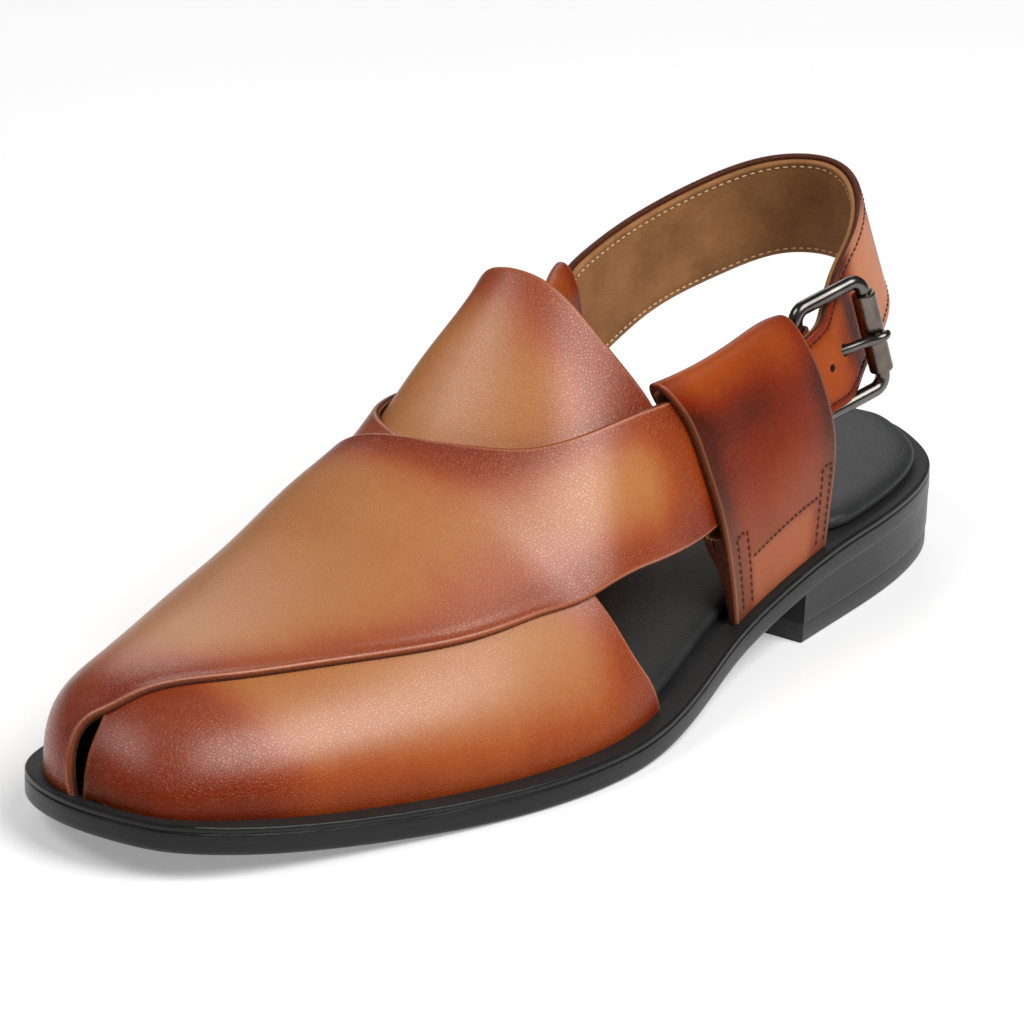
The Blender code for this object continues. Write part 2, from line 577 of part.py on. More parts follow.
# ---------------------------------------------------------------- side loops
def wall_point(side, y, z, out):
    """Point at height z on one side of the last (1 lateral, -1 medial), moved outward."""
    def surface(y, z):
        share = toe_share(y)
        full = full_lateral(share) if side > 0 else full_medial(share)
        foot_x = feather_x(y)[0 if side > 0 else 1]
        level = np.clip((z - sole_top(y) - GAP) / crest_rise(share), 0.0, 0.98)
        crest = crest_x(share)
        return crest + (foot_x - crest) * (1.0 - level ** full) ** (1.0 / full)
    y, z, out = np.broadcast_arrays(*[np.asarray(v, float) for v in (y, z, out)])
    reach = 0.5
    slope_y = (surface(y + reach, z) - surface(y - reach, z)) / (2.0 * reach)
    slope_z = (surface(y, z + reach) - surface(y, z - reach)) / (2.0 * reach)
    slope_z = np.where(z < sole_top(y) + 3.0, 0.0, slope_z)
    normal = side * np.stack([np.ones(y.shape), -slope_y, -slope_z], axis=-1)
    normal /= np.linalg.norm(normal, axis=-1)[..., None]
    point = np.stack([surface(y, z), y, z], axis=-1) + normal * out[..., None]
    point[..., 2] = np.maximum(point[..., 2], sole_top(point[..., 1]) + GAP)
    return point


def loop_lean(edges, share, y):
    """How far a loop stands off the last: it grows with height and toward the heel."""
    lean = smooth_curve(edges[:, 0], edges[:, 3])(share)
    return lean * ease((y - LEAN_START_Y) / (LEAN_END_Y - LEAN_START_Y))


def fold_height(fold, y):
    return smooth_curve(fold[:, 0], fold[:, 1])(y)


def make_loop(name, side, edges, fold, extra_room, setback):
    section = np.concatenate([LOOP_SECTION, INNER_SECTION])
    inner = (section[:, 1] < 0.0)[None]
    columns = np.linspace(0.0, 1.0, LOOP_COLUMN_COUNT)[:, None]

    def ring(share, out):
        front = smooth_curve(edges[:, 0], edges[:, 1])(share)
        rear = smooth_curve(edges[:, 0], edges[:, 2])(share)
        deep = ease((share[None] - 0.2) / 0.3) * ease((1.0 - share[None]) / 0.12) * inner
        y = front[None] + columns * (rear - front - setback * deep[0])[None]
        floor = sole_top(y) + GAP
        z = floor + share[None] * (fold_height(fold, y) - floor)
        room = extra_room * deep * ease((y - 28.0) / 24.0)
        return wall_point(side, y, z, out[None] - room + loop_lean(edges, share[None], y))
    outer = ring(section[:, 0], section[:, 1])
    pocket = ring(section[:, 2], section[:, 3])
    points, faces = tube_solid(outer, pocket)
    add_solid(name, points, faces, (0.44, 0.15, 0.045), 0.42)


def make_loops():
    make_loop("loop_lateral", 1, LATERAL_LOOP, LATERAL_FOLD, LATERAL_ROOM,
              LATERAL_SETBACK)
    make_loop("loop_medial", -1, MEDIAL_LOOP, MEDIAL_FOLD, MEDIAL_ROOM, 0.0)


# ---------------------------------------------------------------- heel strap and buckle
def pocket_point(side, edges, fold, y, z, out):
    """Point in a loop's pocket, a distance outward of the last where the loop leans off it."""
    floor = sole_top(y) + GAP
    share = (z - floor) / (fold_height(fold, y) - floor)
    return wall_point(side, y, z, out + loop_lean(edges, share, y))


def buckle_point(along, up, out):
    outward_axis = np.cross(BUCKLE_ALONG, BUCKLE_UP)
    along, up, out = np.broadcast_arrays(*[np.asarray(v, float) for v in (along, up, out)])
    return (BUCKLE_BAR + along[..., None] * BUCKLE_ALONG + up[..., None] * BUCKLE_UP
            + out[..., None] * outward_axis)


def strap_rows():
    def end(side, edges, fold, rows, out):
        top = pocket_point(side, edges, fold, rows[:, 0], rows[:, 1], out)
        low = pocket_point(side, edges, fold, rows[:, 2], rows[:, 3], out)
        return np.concatenate([top, low], axis=1)
    threaded = np.concatenate([buckle_point(*THREADED_STRAP[:, :3].T),
                               buckle_point(*THREADED_STRAP[:, 3:].T)], axis=1)
    medial = end(-1, MEDIAL_LOOP, MEDIAL_FOLD, MEDIAL_END, MEDIAL_STRAP_OUT)
    lateral = end(1, LATERAL_LOOP, LATERAL_FOLD, LATERAL_END, LATERAL_STRAP_OUT)
    return np.concatenate([medial, HEEL_STRAP, threaded, lateral])


def rod_cutter(name, start, end, radius):
    """Round bar between two points, for cutting."""
    start, end = np.asarray(start, float), np.asarray(end, float)
    axis = unit(end - start)
    side = unit(np.cross(axis, BUCKLE_UP))
    up = np.cross(side, axis)
    turn = np.linspace(0.0, 2.0 * math.pi, 11)[:-1]
    circle = radius * (np.cos(turn)[:, None] * side + np.sin(turn)[:, None] * up)
    points, faces = ring_solid(np.stack([start + circle, end + circle]))
    return add_solid(name, points, faces, (0.1, 0.1, 0.1))


def prong_line():
    """Middle line of the prong from the front bar to beyond the roller: along and out."""
    ring = WIRE_RADIUS + 0.25 + 0.4
    turn = np.radians([60.0, 105.0, 150.0, 195.0, 235.0, 270.0])
    loop = np.stack([ring * np.cos(turn), ring * np.sin(turn)], axis=1)
    rest = ROLLER_RADIUS + GAP + PRONG_RADIUS
    shank = np.array([(2.6, -1.9), (6.0, -0.75), (12.0, 1.35), (17.5, 3.3),
                      (BUCKLE_LENGTH, rest), (22.3, rest - 0.5), (23.4, rest - 1.6)])
    return np.concatenate([loop, shank])


def make_strap():
    edges = curve_through(strap_rows(), 58)
    top, low = edges[:, :3], edges[:, 3:]
    along = unit(np.gradient((top + low) / 2.0, axis=0))
    inward = unit(np.cross(along, top - low))
    share = np.array([0.0, 0.03, 0.5, 0.97, 1.0])
    depth = np.array([0.5, 0.0, 0.0, 0.0, 0.5])
    outer = [top[:, None] * (1 - k) + low[:, None] * k + inward[:, None] * d
             for k, d in zip(share, depth)]
    inner = [top[:, None] * (1 - k) + low[:, None] * k + inward[:, None] * (STRAP_THICKNESS - d)
             for k, d in zip(share, depth)]
    ring = np.concatenate(outer + inner[::-1], axis=1)
    points, faces = ring_solid(ring)
    strap = add_solid("sling_strap", points, faces, (0.4, 0.14, 0.045), 0.42)
    line = prong_line()
    slot = rod_cutter("prong_hole", buckle_point(line[7, 0], -0.4, line[7, 1]),
                      buckle_point(line[9, 0], -0.4, line[9, 1]), PRONG_RADIUS + 0.5)
    boolean(strap, slot, "DIFFERENCE")
    spare = rod_cutter("spare_hole", buckle_point(2.2, -1.4, -1.0),
                       buckle_point(4.4, -0.6, 9.0), 1.2)
    boolean(strap, spare, "DIFFERENCE")


def make_buckle():
    half_up = BUCKLE_HEIGHT / 2.0
    corners = [(BUCKLE_LENGTH - BUCKLE_CORNER, half_up - BUCKLE_CORNER, 90.0),
               (BUCKLE_CORNER, half_up - BUCKLE_CORNER, 180.0),
               (BUCKLE_CORNER, BUCKLE_CORNER - half_up, 270.0),
               (BUCKLE_LENGTH - BUCKLE_CORNER, BUCKLE_CORNER - half_up, 360.0)]
    rings = []
    turn = np.linspace(0.0, 2.0 * math.pi, 9)[:-1]
    for along, up, start in corners:
        for angle in np.radians(start - 90.0 + np.array([0.0, 30.0, 60.0, 90.0])):
            reach = BUCKLE_CORNER + WIRE_RADIUS * np.cos(turn)
            rings.append(buckle_point(along + reach * math.cos(angle),
                                      up + reach * math.sin(angle),
                                      WIRE_RADIUS * np.sin(turn)))
    points, faces = hoop_solid(np.array(rings))
    add_solid("buckle_frame", points, faces, (0.17, 0.165, 0.16), 0.25, 1.0)

    turn = np.linspace(0.0, 2.0 * math.pi, 15)[:-1]
    ends = np.array([-0.5, 0.5])[:, None] * ROLLER_LENGTH

    def roller_rings(radius):
        return buckle_point(BUCKLE_LENGTH + radius * np.cos(turn)[None], ends,
                            radius * np.sin(turn)[None])
    points, faces = tube_solid(roller_rings(ROLLER_RADIUS), roller_rings(WIRE_RADIUS + 0.3))
    add_solid("buckle_roller", points, faces, (0.33, 0.31, 0.29), 0.35, 1.0)


def make_prong():
    """Flat loop round the front bar that grows into a round rod and rests on the roller."""
    line = prong_line()
    along = unit(np.gradient(line, axis=0))
    normal = np.stack([-along[:, 1], along[:, 0]], axis=1)
    thick = np.array([0.4, 0.4, 0.4, 0.4, 0.4, 0.4, 0.55, 1.0, 1.2, 1.2, 1.15, 0.95, 0.5])
    wide = np.array([1.3, 1.3, 1.3, 1.3, 1.3, 1.3, 1.3, 1.25, 1.25, 1.25, 1.2, 1.0, 0.6])
    turn = np.linspace(0.0, 2.0 * math.pi, 9)[:-1]
    across = thick[:, None] * np.cos(turn)
    points, faces = ring_solid(buckle_point(line[:, :1] + across * normal[:, :1],
                                            wide[:, None] * np.sin(turn) - 0.4,
                                            line[:, 1:] + across * normal[:, 1:]))
    add_solid("buckle_prong", points, faces, (0.17, 0.165, 0.16), 0.25, 1.0)


def make_tab():
    """Leather tab from the lateral pocket round the buckle's front bar and back."""
    levels = np.linspace(-0.5, 0.5, 4) * TAB_WIDTH
    ring = WIRE_RADIUS + 0.25 + TAB_THICKNESS / 2.0
    turn = np.radians(np.linspace(240.0, 420.0, 7))
    rows = []
    for up in levels:
        def in_pocket(along, out):
            y, z = buckle_point(along, up, 0.0)[1:]
            return pocket_point(1, LATERAL_LOOP, LATERAL_FOLD, y, z, out)
        line = [in_pocket(-13.0, -3.05), in_pocket(-7.0, -3.05)]
        line += [buckle_point(ring * math.cos(t), up, ring * math.sin(t)) for t in turn]
        line += [in_pocket(-7.0, -2.1), in_pocket(-13.0, -2.1)]
        rows.append(line)
    middle = np.array(rows)
    along = unit(np.gradient(middle, axis=1))
    up_axis = np.broadcast_to(BUCKLE_UP, along.shape)
    normal = unit(np.cross(along, up_axis)) * TAB_THICKNESS / 2.0
    points, faces = sheet_solid(middle + normal, middle - normal)
    tab = add_solid("buckle_tab", points, faces, (0.4, 0.14, 0.045), 0.45)
    notch = [buckle_point(a, u, n) for a, n in ((-4.2, -4.0), (4.0, -4.0), (4.0, 4.0), (-4.2, 4.0))
             for u in (-2.4, 1.6)]
    points, faces = ring_solid([[notch[0], notch[2], notch[4], notch[6]],
                                [notch[1], notch[3], notch[5], notch[7]]])
    boolean(tab, add_solid("prong_notch", points, faces, (0.1, 0.1, 0.1)), "DIFFERENCE")


def main():
    for old in list(bpy.data.objects):
        bpy.data.objects.remove(old, do_unlink=True)
    make_sole()
    make_insole()
    make_upper()
    make_tongue()
    make_loops()
    make_strap()
    make_buckle()
    make_prong()
    make_tab()


main()
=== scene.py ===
# Peshawari chappal, left shoe: tan burnished leather on a black heeled sole.
# Shapes are worked out in millimetres and placed in metres; toe at -Y, outer side at +X.
import math

import bmesh
import bpy
import numpy as np
from mathutils import Matrix, Vector


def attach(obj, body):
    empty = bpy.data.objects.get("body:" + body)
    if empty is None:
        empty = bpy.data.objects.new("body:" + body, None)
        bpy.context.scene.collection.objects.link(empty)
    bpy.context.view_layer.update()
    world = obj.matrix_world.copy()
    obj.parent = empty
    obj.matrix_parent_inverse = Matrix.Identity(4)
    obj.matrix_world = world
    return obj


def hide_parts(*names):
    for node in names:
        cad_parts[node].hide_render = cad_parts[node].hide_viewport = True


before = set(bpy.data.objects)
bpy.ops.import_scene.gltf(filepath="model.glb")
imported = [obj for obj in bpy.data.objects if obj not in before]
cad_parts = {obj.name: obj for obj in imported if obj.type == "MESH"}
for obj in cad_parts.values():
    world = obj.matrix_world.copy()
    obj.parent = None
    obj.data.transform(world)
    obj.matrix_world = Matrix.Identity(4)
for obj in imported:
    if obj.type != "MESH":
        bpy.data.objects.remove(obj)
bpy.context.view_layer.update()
scene = bpy.context.scene
print("frame loaded:", ", ".join(sorted(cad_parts)))


# curves and small sums
def ease(t):
    t = np.clip(t, 0.0, 1.0)
    return t * t * (3.0 - 2.0 * t)


def past(value, start, run):  # 0 before the start, 1 once the run is over
    return ease((value - start) / run)


def near(distance, reach, middle=0.0):  # a soft hump round the middle
    return np.exp(-((distance - middle) / reach) ** 2)


def unit(v):
    v = np.asarray(v, float)
    return v / np.maximum(np.linalg.norm(v, axis=-1, keepdims=True), 1e-12)


def smoothCurve(knots, values):  # natural cubic spline through the knots
    x, y = np.asarray(knots, float), np.asarray(values, float)
    count, step = len(x), np.diff(x)
    matrix, right = np.eye(count), np.zeros(count)
    for i in range(1, count - 1):
        matrix[i, i - 1:i + 2] = step[i - 1], 2.0 * (step[i - 1] + step[i]), step[i]
        right[i] = 6.0 * ((y[i + 1] - y[i]) / step[i] - (y[i] - y[i - 1]) / step[i - 1])
    bend = np.linalg.solve(matrix, right)

    def value(query):
        query = np.clip(query, x[0], x[-1])
        i = np.clip(np.searchsorted(x, query) - 1, 0, count - 2)
        a = (x[i + 1] - query) / step[i]
        b = 1.0 - a
        cubic = ((a ** 3 - a) * bend[i] + (b ** 3 - b) * bend[i + 1]) * step[i] ** 2 / 6.0
        return a * y[i] + b * y[i + 1] + cubic
    return value


def curveAt(rows, shares):  # points at shares of the arc length of a smooth curve
    rows = np.asarray(rows, float)
    chord = arcRun(rows)
    dense = np.linspace(0.0, chord[-1], 1500)
    line = np.stack([smoothCurve(chord, column)(dense) for column in rows.T], axis=1)
    run = arcRun(line)
    return resampled(line, np.asarray(shares) * run[-1], run)


def crowded(count, length, close=(0.12, 0.35, 0.7, 1.2, 1.9, 2.8)):
    # shares from 0 to 1 with extra rows close to both ends, for rounded edges
    close = np.array(close) / length
    middle = np.linspace(close[-1], 1.0 - close[-1], count - 2 * len(close))
    return np.concatenate([[0.0], close[:-1], middle, 1.0 - close[-2::-1], [1.0]])


def rounded(distance, radius):  # how far a surface drops at a rounded edge
    d = np.clip(distance, 0.0, radius)
    return radius - np.sqrt(np.maximum(radius ** 2 - (radius - d) ** 2, 0.0))


def nearTo(points, line):  # distance of each point from a polyline's points
    flat = points.reshape(-1, 3)
    best = np.full(len(flat), 1e9)
    a, b = line[:-1], line[1:]
    ab = b - a
    long = np.maximum((ab ** 2).sum(1), 1e-9)
    for start in range(0, len(flat), 4000):
        p = flat[start:start + 4000, None]
        t = np.clip(((p - a) * ab).sum(-1) / long, 0.0, 1.0)
        best[start:start + 4000] = np.linalg.norm(p - a - t[..., None] * ab, axis=-1).min(1)
    return best.reshape(points.shape[:-1])


def spots(points, rows):  # soft patches: x, y, z, reach along X, Y, Z, strength
    total = np.zeros(points.shape[:-1])
    for x, y, z, rx, ry, rz, strength in rows:
        away = ((points - (x, y, z)) / (rx, ry, rz)) ** 2
        total = total + strength * np.exp(-away.sum(-1))
    return total


def circle(count):
    return np.linspace(0.0, 2.0 * math.pi, count + 1)[:-1]


def arcRun(line):  # length along a polyline, from 0
    return np.concatenate([[0.0], np.cumsum(np.linalg.norm(np.diff(line, axis=0), axis=1))])


def resampled(line, at, run=None):
    run = arcRun(line) if run is None else run
    return np.stack([np.interp(at, run, column) for column in line.T], axis=1)


def softCap(tone, top=0.60):  # the burnish seldom goes past red-brown
    return np.minimum(tone, top) + 0.4 * np.maximum(tone - top, 0.0)


def wander(points, scale, seed):  # slow, smooth variation between -1 and 1
    rng = np.random.default_rng(seed)
    total = np.zeros(points.shape[:-1])
    for k in range(5):
        wave = rng.normal(size=3) * scale * (0.6 + 0.35 * k)
        total = total + np.sin(points @ wave + rng.uniform(0.0, 6.28)) / (1.0 + 0.5 * k)
    return total / 3.0


# the sole's outline and heights, shared by every piece
soleShape = {
    "length": 302.0, "heelLift": 13.8, "toeSpring": 8.0, "edge": 7.2, "toePointX": -11.0,
    "middleX": 0.08, "breastY": 56.8, "topLift": 5.0, "weltMargin": 6.8, "insoleMargin": 7.4,
    "gap": 0.3,
    "outline": np.array([  # share of the length, lateral half, medial half
        (0.000, 0.0, 0.0), (0.008, 15.6, 13.6), (0.025, 22.5, 24.0), (0.060, 29.6, 34.0),
        (0.110, 36.2, 40.9), (0.180, 43.5, 47.5), (0.260, 50.7, 51.7), (0.340, 55.1, 51.1),
        (0.420, 54.7, 46.1), (0.500, 50.2, 39.1), (0.580, 44.3, 33.9), (0.660, 41.4, 32.1),
        (0.740, 39.5, 32.6), (0.820, 37.3, 35.1), (0.890, 32.9, 35.2), (0.950, 23.8, 27.9),
        (0.985, 11.2, 17.0), (1.000, 0.0, 0.0)]),
}


def soleUnderside(y):
    station = y / soleShape["length"] + 0.5
    spring = soleShape["toeSpring"] * np.clip((0.30 - station) / 0.30, 0.0, 1.0) ** 2
    return spring + soleShape["heelLift"] * ease((station - 0.38) / 0.40)


def soleTop(y):
    return soleUnderside(y) + soleShape["edge"]


def seat(y):  # the level that the upper and the sock stand on
    return soleTop(y) + soleShape["gap"]


def outlineHalves(margin, samples=1200):
    outline = soleShape["outline"]
    turn = np.arccos(1.0 - 2.0 * outline[:, 0])
    angle = np.linspace(0.0, math.pi, samples)
    station = (1.0 - np.cos(angle)) / 2.0
    y = (station - 0.5) * soleShape["length"]
    middle = soleShape["toePointX"] * np.clip(1.0 - station / 0.45, 0.0, 1.0) ** 1.5
    lateral = np.stack([middle + smoothCurve(turn, outline[:, 1])(angle), y], axis=1)
    medial = np.stack([middle - smoothCurve(turn, outline[:, 2])(angle), y], axis=1)
    loop = np.concatenate([lateral, medial[-2:0:-1]])
    along = unit(np.roll(loop, -1, axis=0) - np.roll(loop, 1, axis=0))
    loop = loop + margin * np.stack([-along[:, 1], along[:, 0]], axis=1)
    loop = np.roll(loop, -loop[:, 1].argmin(), axis=0)
    heel = loop[:, 1].argmax()
    return loop[:heel + 1], np.concatenate([loop[heel:], loop[:1]])[::-1]


# the last that the leather is drawn over
lastShape = {
    "toeTipY": -145.5, "endY": 75.0, "samples": 321,
    "rows": np.array([  # y, rise, crest x, fullness lateral, fullness medial
        (-145.5, 0.0, -11.0, 2.10, 2.75), (-143.5, 8.0, -15.5, 2.10, 2.80),
        (-139.0, 14.5, -16.5, 2.05, 2.85), (-131.0, 20.5, -16.0, 2.05, 2.95),
        (-118.0, 24.5, -14.5, 2.05, 2.85), (-100.0, 29.0, -13.0, 2.10, 2.75),
        (-80.0, 34.5, -12.5, 2.00, 2.80), (-60.0, 42.0, -13.0, 1.80, 2.80),
        (-42.0, 51.0, -13.5, 1.60, 2.90), (-28.0, 58.5, -13.0, 1.60, 2.90),
        (-14.0, 72.5, -13.0, 1.70, 2.85), (0.0, 87.0, -12.0, 1.65, 2.75),
        (20.0, 100.0, -9.5, 1.70, 2.70), (45.0, 112.0, -7.5, 1.75, 2.65),
        (75.0, 118.0, -5.0, 1.80, 2.60)]),
}
lastLateral, lastMedial = outlineHalves(soleShape["weltMargin"])
toeSetback = lastLateral[0, 1] - lastShape["toeTipY"]


def toeShare(y):
    span = lastShape["endY"] - lastShape["toeTipY"]
    return np.sqrt(np.clip((y - lastShape["toeTipY"]) / span, 0.0, 1.0))


crestRise, crestX, fullLateral, fullMedial = [
    smoothCurve(toeShare(lastShape["rows"][:, 0]), lastShape["rows"][:, k]) for k in range(1, 5)]


def featherX(y):
    moved = y + toeSetback * np.clip(1.0 - (y - lastShape["toeTipY"]) / 20.0, 0.0, 1.0)
    return (np.interp(moved, lastLateral[:, 1], lastLateral[:, 0]),
            np.interp(moved, lastMedial[:, 1], lastMedial[:, 0]))


def lastSections(y):
    y = np.asarray(y, float)
    turn = np.linspace(math.pi, 0.0, lastShape["samples"])
    cosine, sine = np.cos(turn), np.abs(np.sin(turn))
    share = toeShare(y)
    xLateral, xMedial = featherX(y)
    sideX = np.where(cosine > 0.0, xLateral[..., None], xMedial[..., None])
    full = np.where(cosine > 0.0, fullLateral(share)[..., None], fullMedial(share)[..., None])
    crest = crestX(share)[..., None]
    x = crest + (sideX - crest) * np.abs(cosine) ** (2.0 / full)
    floor = seat(y)[..., None]
    z = floor + crestRise(share)[..., None] * sine ** (2.0 / full)
    step = np.hypot(np.diff(x, axis=-1), np.diff(z, axis=-1))
    girth = np.concatenate([np.zeros(y.shape + (1,)), np.cumsum(step, axis=-1)], axis=-1)
    return x, z, girth - girth[..., lastShape["samples"] // 2, None]


def lastPoint(y, across):
    y, across = np.broadcast_arrays(np.asarray(y, float), np.asarray(across, float))
    x, z, girth = lastSections(y)
    k = np.clip((girth < across[..., None]).sum(axis=-1) - 1, 0, lastShape["samples"] - 2)
    k = k[..., None]
    low = np.take_along_axis(girth, k, -1)[..., 0]
    high = np.take_along_axis(girth, k + 1, -1)[..., 0]
    share = np.clip((across - low) / np.maximum(high - low, 1e-9), 0.0, 1.0)

    def between(row):
        start = np.take_along_axis(row, k, -1)[..., 0]
        return start + share * (np.take_along_axis(row, k + 1, -1)[..., 0] - start)
    return np.stack([between(x), y, between(z)], axis=-1)


def halfGirths(y):
    girth = lastSections(y)[2]
    return girth[..., 0], girth[..., -1]


def lastNormal(y, across):
    reach = 0.9
    medial, lateral = halfGirths(y)
    along = (lastPoint(np.minimum(y + reach, lastShape["endY"]), across)
             - lastPoint(np.maximum(y - reach, lastShape["toeTipY"] + 0.01), across))
    around = (lastPoint(y, np.minimum(across + reach, lateral))
              - lastPoint(y, np.maximum(across - reach, medial)))
    return unit(np.cross(around, along))


# meshes
def metres(points):  # centred on the frame's axis
    return ((np.asarray(points, float) - (soleShape["middleX"], 0.0, 0.0)) * 0.001).tolist()


def meshObject(name, points, faces, materials, faceMaterials=None, sharp=38.0):
    mesh = bpy.data.meshes.new(name)
    mesh.from_pydata(metres(points), [], faces)
    for material in materials:
        mesh.materials.append(material)
    if faceMaterials is not None:
        mesh.polygons.foreach_set("material_index", np.asarray(faceMaterials, np.int32))
    work = bmesh.new()
    work.from_mesh(mesh)
    if work.calc_volume(signed=True) < 0.0:
        bmesh.ops.reverse_faces(work, faces=work.faces)
    work.to_mesh(mesh)
    work.free()
    mesh.shade_smooth()
    mesh.set_sharp_from_angle(angle=math.radians(sharp))
    piece = bpy.data.objects.new(name, mesh)
    scene.collection.objects.link(piece)
    return piece


def paint(piece, **values):  # one float attribute a name, on the points
    for name, value in values.items():
        layer = piece.data.attributes.new(name, "FLOAT", "POINT")
        layer.data.foreach_set("value", np.asarray(value, np.float32).ravel())


def applied(piece):  # the piece's evaluated mesh, with no modifier left
    depsgraph = bpy.context.evaluated_depsgraph_get()
    mesh = bpy.data.meshes.new_from_object(piece.evaluated_get(depsgraph))
    piece.modifiers.clear()
    old = piece.data
    piece.data = mesh
    bpy.data.meshes.remove(old)
    mesh.name = piece.name
    return piece


def sheetFaces(rows, columns):  # two grids of points joined round their rim
    under = rows * columns
    i, j = np.meshgrid(np.arange(rows - 1), np.arange(columns - 1), indexing="ij")
    a = (i * columns + j).ravel()
    top = np.stack([a, a + 1, a + columns + 1, a + columns], axis=1)
    rim = list(range(columns)) + [k * columns + columns - 1 for k in range(1, rows)]
    rim += [(rows - 1) * columns + k for k in range(columns - 2, -1, -1)]
    rim += [k * columns for k in range(rows - 2, 0, -1)]
    rim = np.array(rim)
    after = np.roll(rim, -1)
    wall = np.stack([after, rim, under + rim, under + after], axis=1)
    faces = np.concatenate([top, under + top[:, ::-1], wall])
    kinds = np.concatenate([np.zeros(len(top)), np.ones(len(top)), np.full(len(wall), 2)])
    return faces.tolist(), kinds.astype(int)


def sweepFaces(rows, size, closed=False):  # rings in a row, capped unless they meet again
    i, j = np.meshgrid(np.arange(rows if closed else rows - 1), np.arange(size), indexing="ij")
    i, j = i.ravel(), j.ravel()
    k = (j + 1) % size
    below, above = i * size, ((i + 1) % rows) * size
    faces = np.stack([below + j, below + k, above + k, above + j], axis=1).tolist()
    if not closed:
        faces.append(list(range(size - 1, -1, -1)))
        faces.append([(rows - 1) * size + n for n in range(size)])
    return faces


def tubeFaces(rows, size):  # rings outside, rings of the bore inside, joined at both ends
    bore = rows * size
    i, j = np.meshgrid(np.arange(rows - 1), np.arange(size), indexing="ij")
    i, j = i.ravel(), j.ravel()
    k = (j + 1) % size
    outer = np.stack([i * size + j, i * size + k, (i + 1) * size + k, (i + 1) * size + j], 1)
    n = np.arange(size)
    m = (n + 1) % size
    last = (rows - 1) * size
    start = np.stack([m, n, bore + n, bore + m], axis=1)
    end = np.stack([last + n, last + m, bore + last + m, bore + last + n], axis=1)
    faces = np.concatenate([outer, bore + outer[:, ::-1], start, end])
    kinds = np.repeat([0, 1, 2, 2], [len(outer), len(outer), size, size])
    return faces.tolist(), kinds


def twoSided(name, outside, inside, joined, materials):  # joined by a function for the faces
    faces, kinds = joined(*outside.shape[:2])
    points = np.concatenate([outside.reshape(-1, 3), inside.reshape(-1, 3)])
    return meshObject(name, points, faces, materials, kinds, sharp=50.0)


def ofRings(name, rings, materials, kinds=None, closed=False, sharp=40.0):
    rings = np.asarray(rings)
    return meshObject(name, rings.reshape(-1, 3), sweepFaces(*rings.shape[:2], closed),
                      materials, kinds, sharp)


def paintSheet(piece, burn, free, line, seam=0.0):  # the outside, then the lining
    edge = np.broadcast_to(np.clip(1.0 - free / vampLook["cutEdge"], 0.0, 1.0), burn.shape)
    none = np.zeros(burn.shape)
    # line carries painted highlight and painted sheen, on the outside only
    paint(piece, burn=[burn, burn], edge=[edge, edge], line=[line, none],
          seam=[none + seam, none])


def finishPiece(piece, slotName, *nodes):
    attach(piece, "root")
    if nodes:
        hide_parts(*nodes)
    return piece


# nodes
def feed(tree, socket, value):  # through a link, or as a plain value
    value = getattr(value, "socket", value)
    if isinstance(value, bpy.types.NodeSocket):
        tree.links.new(value, socket)
    else:
        socket.default_value = value


def addNode(tree, kind, settings, values):  # settings first, then values and links
    made = tree.nodes.new(kind)
    for name, value in settings.items():
        if name == "stops":
            elements = made.color_ramp.elements
            while len(elements) < len(value):
                elements.new(0.5)
            for element, (position, color) in zip(elements, value):
                element.position, element.color = position, color
        else:
            setattr(made, name, value)
    for key, value in values.items():
        feed(tree, made.inputs[key], value)
    return made


# materials
def linear(red, green, blue):  # from screen values 0 to 255
    def one(v):
        v = v / 255.0
        return v / 12.92 if v <= 0.04045 else ((v + 0.055) / 1.055) ** 2.4
    return (one(red), one(green), one(blue), 1.0)


class Wire:  # a socket that can be written in sums
    def __init__(self, finish, socket):
        self.finish, self.socket = finish, socket

    def sum(self, operation, other, swapped=False):
        first, second = (other, self) if swapped else (self, other)
        return self.finish.node("ShaderNodeMath", {"operation": operation}, {0: first, 1: second})

    def __add__(self, other):
        return self.sum("ADD", other)

    def __radd__(self, other):
        return self.sum("ADD", other, True)

    def __sub__(self, other):
        return self.sum("SUBTRACT", other)

    def __rsub__(self, other):
        return self.sum("SUBTRACT", other, True)

    def __mul__(self, other):
        return self.sum("MULTIPLY", other)

    def __rmul__(self, other):
        return self.sum("MULTIPLY", other, True)


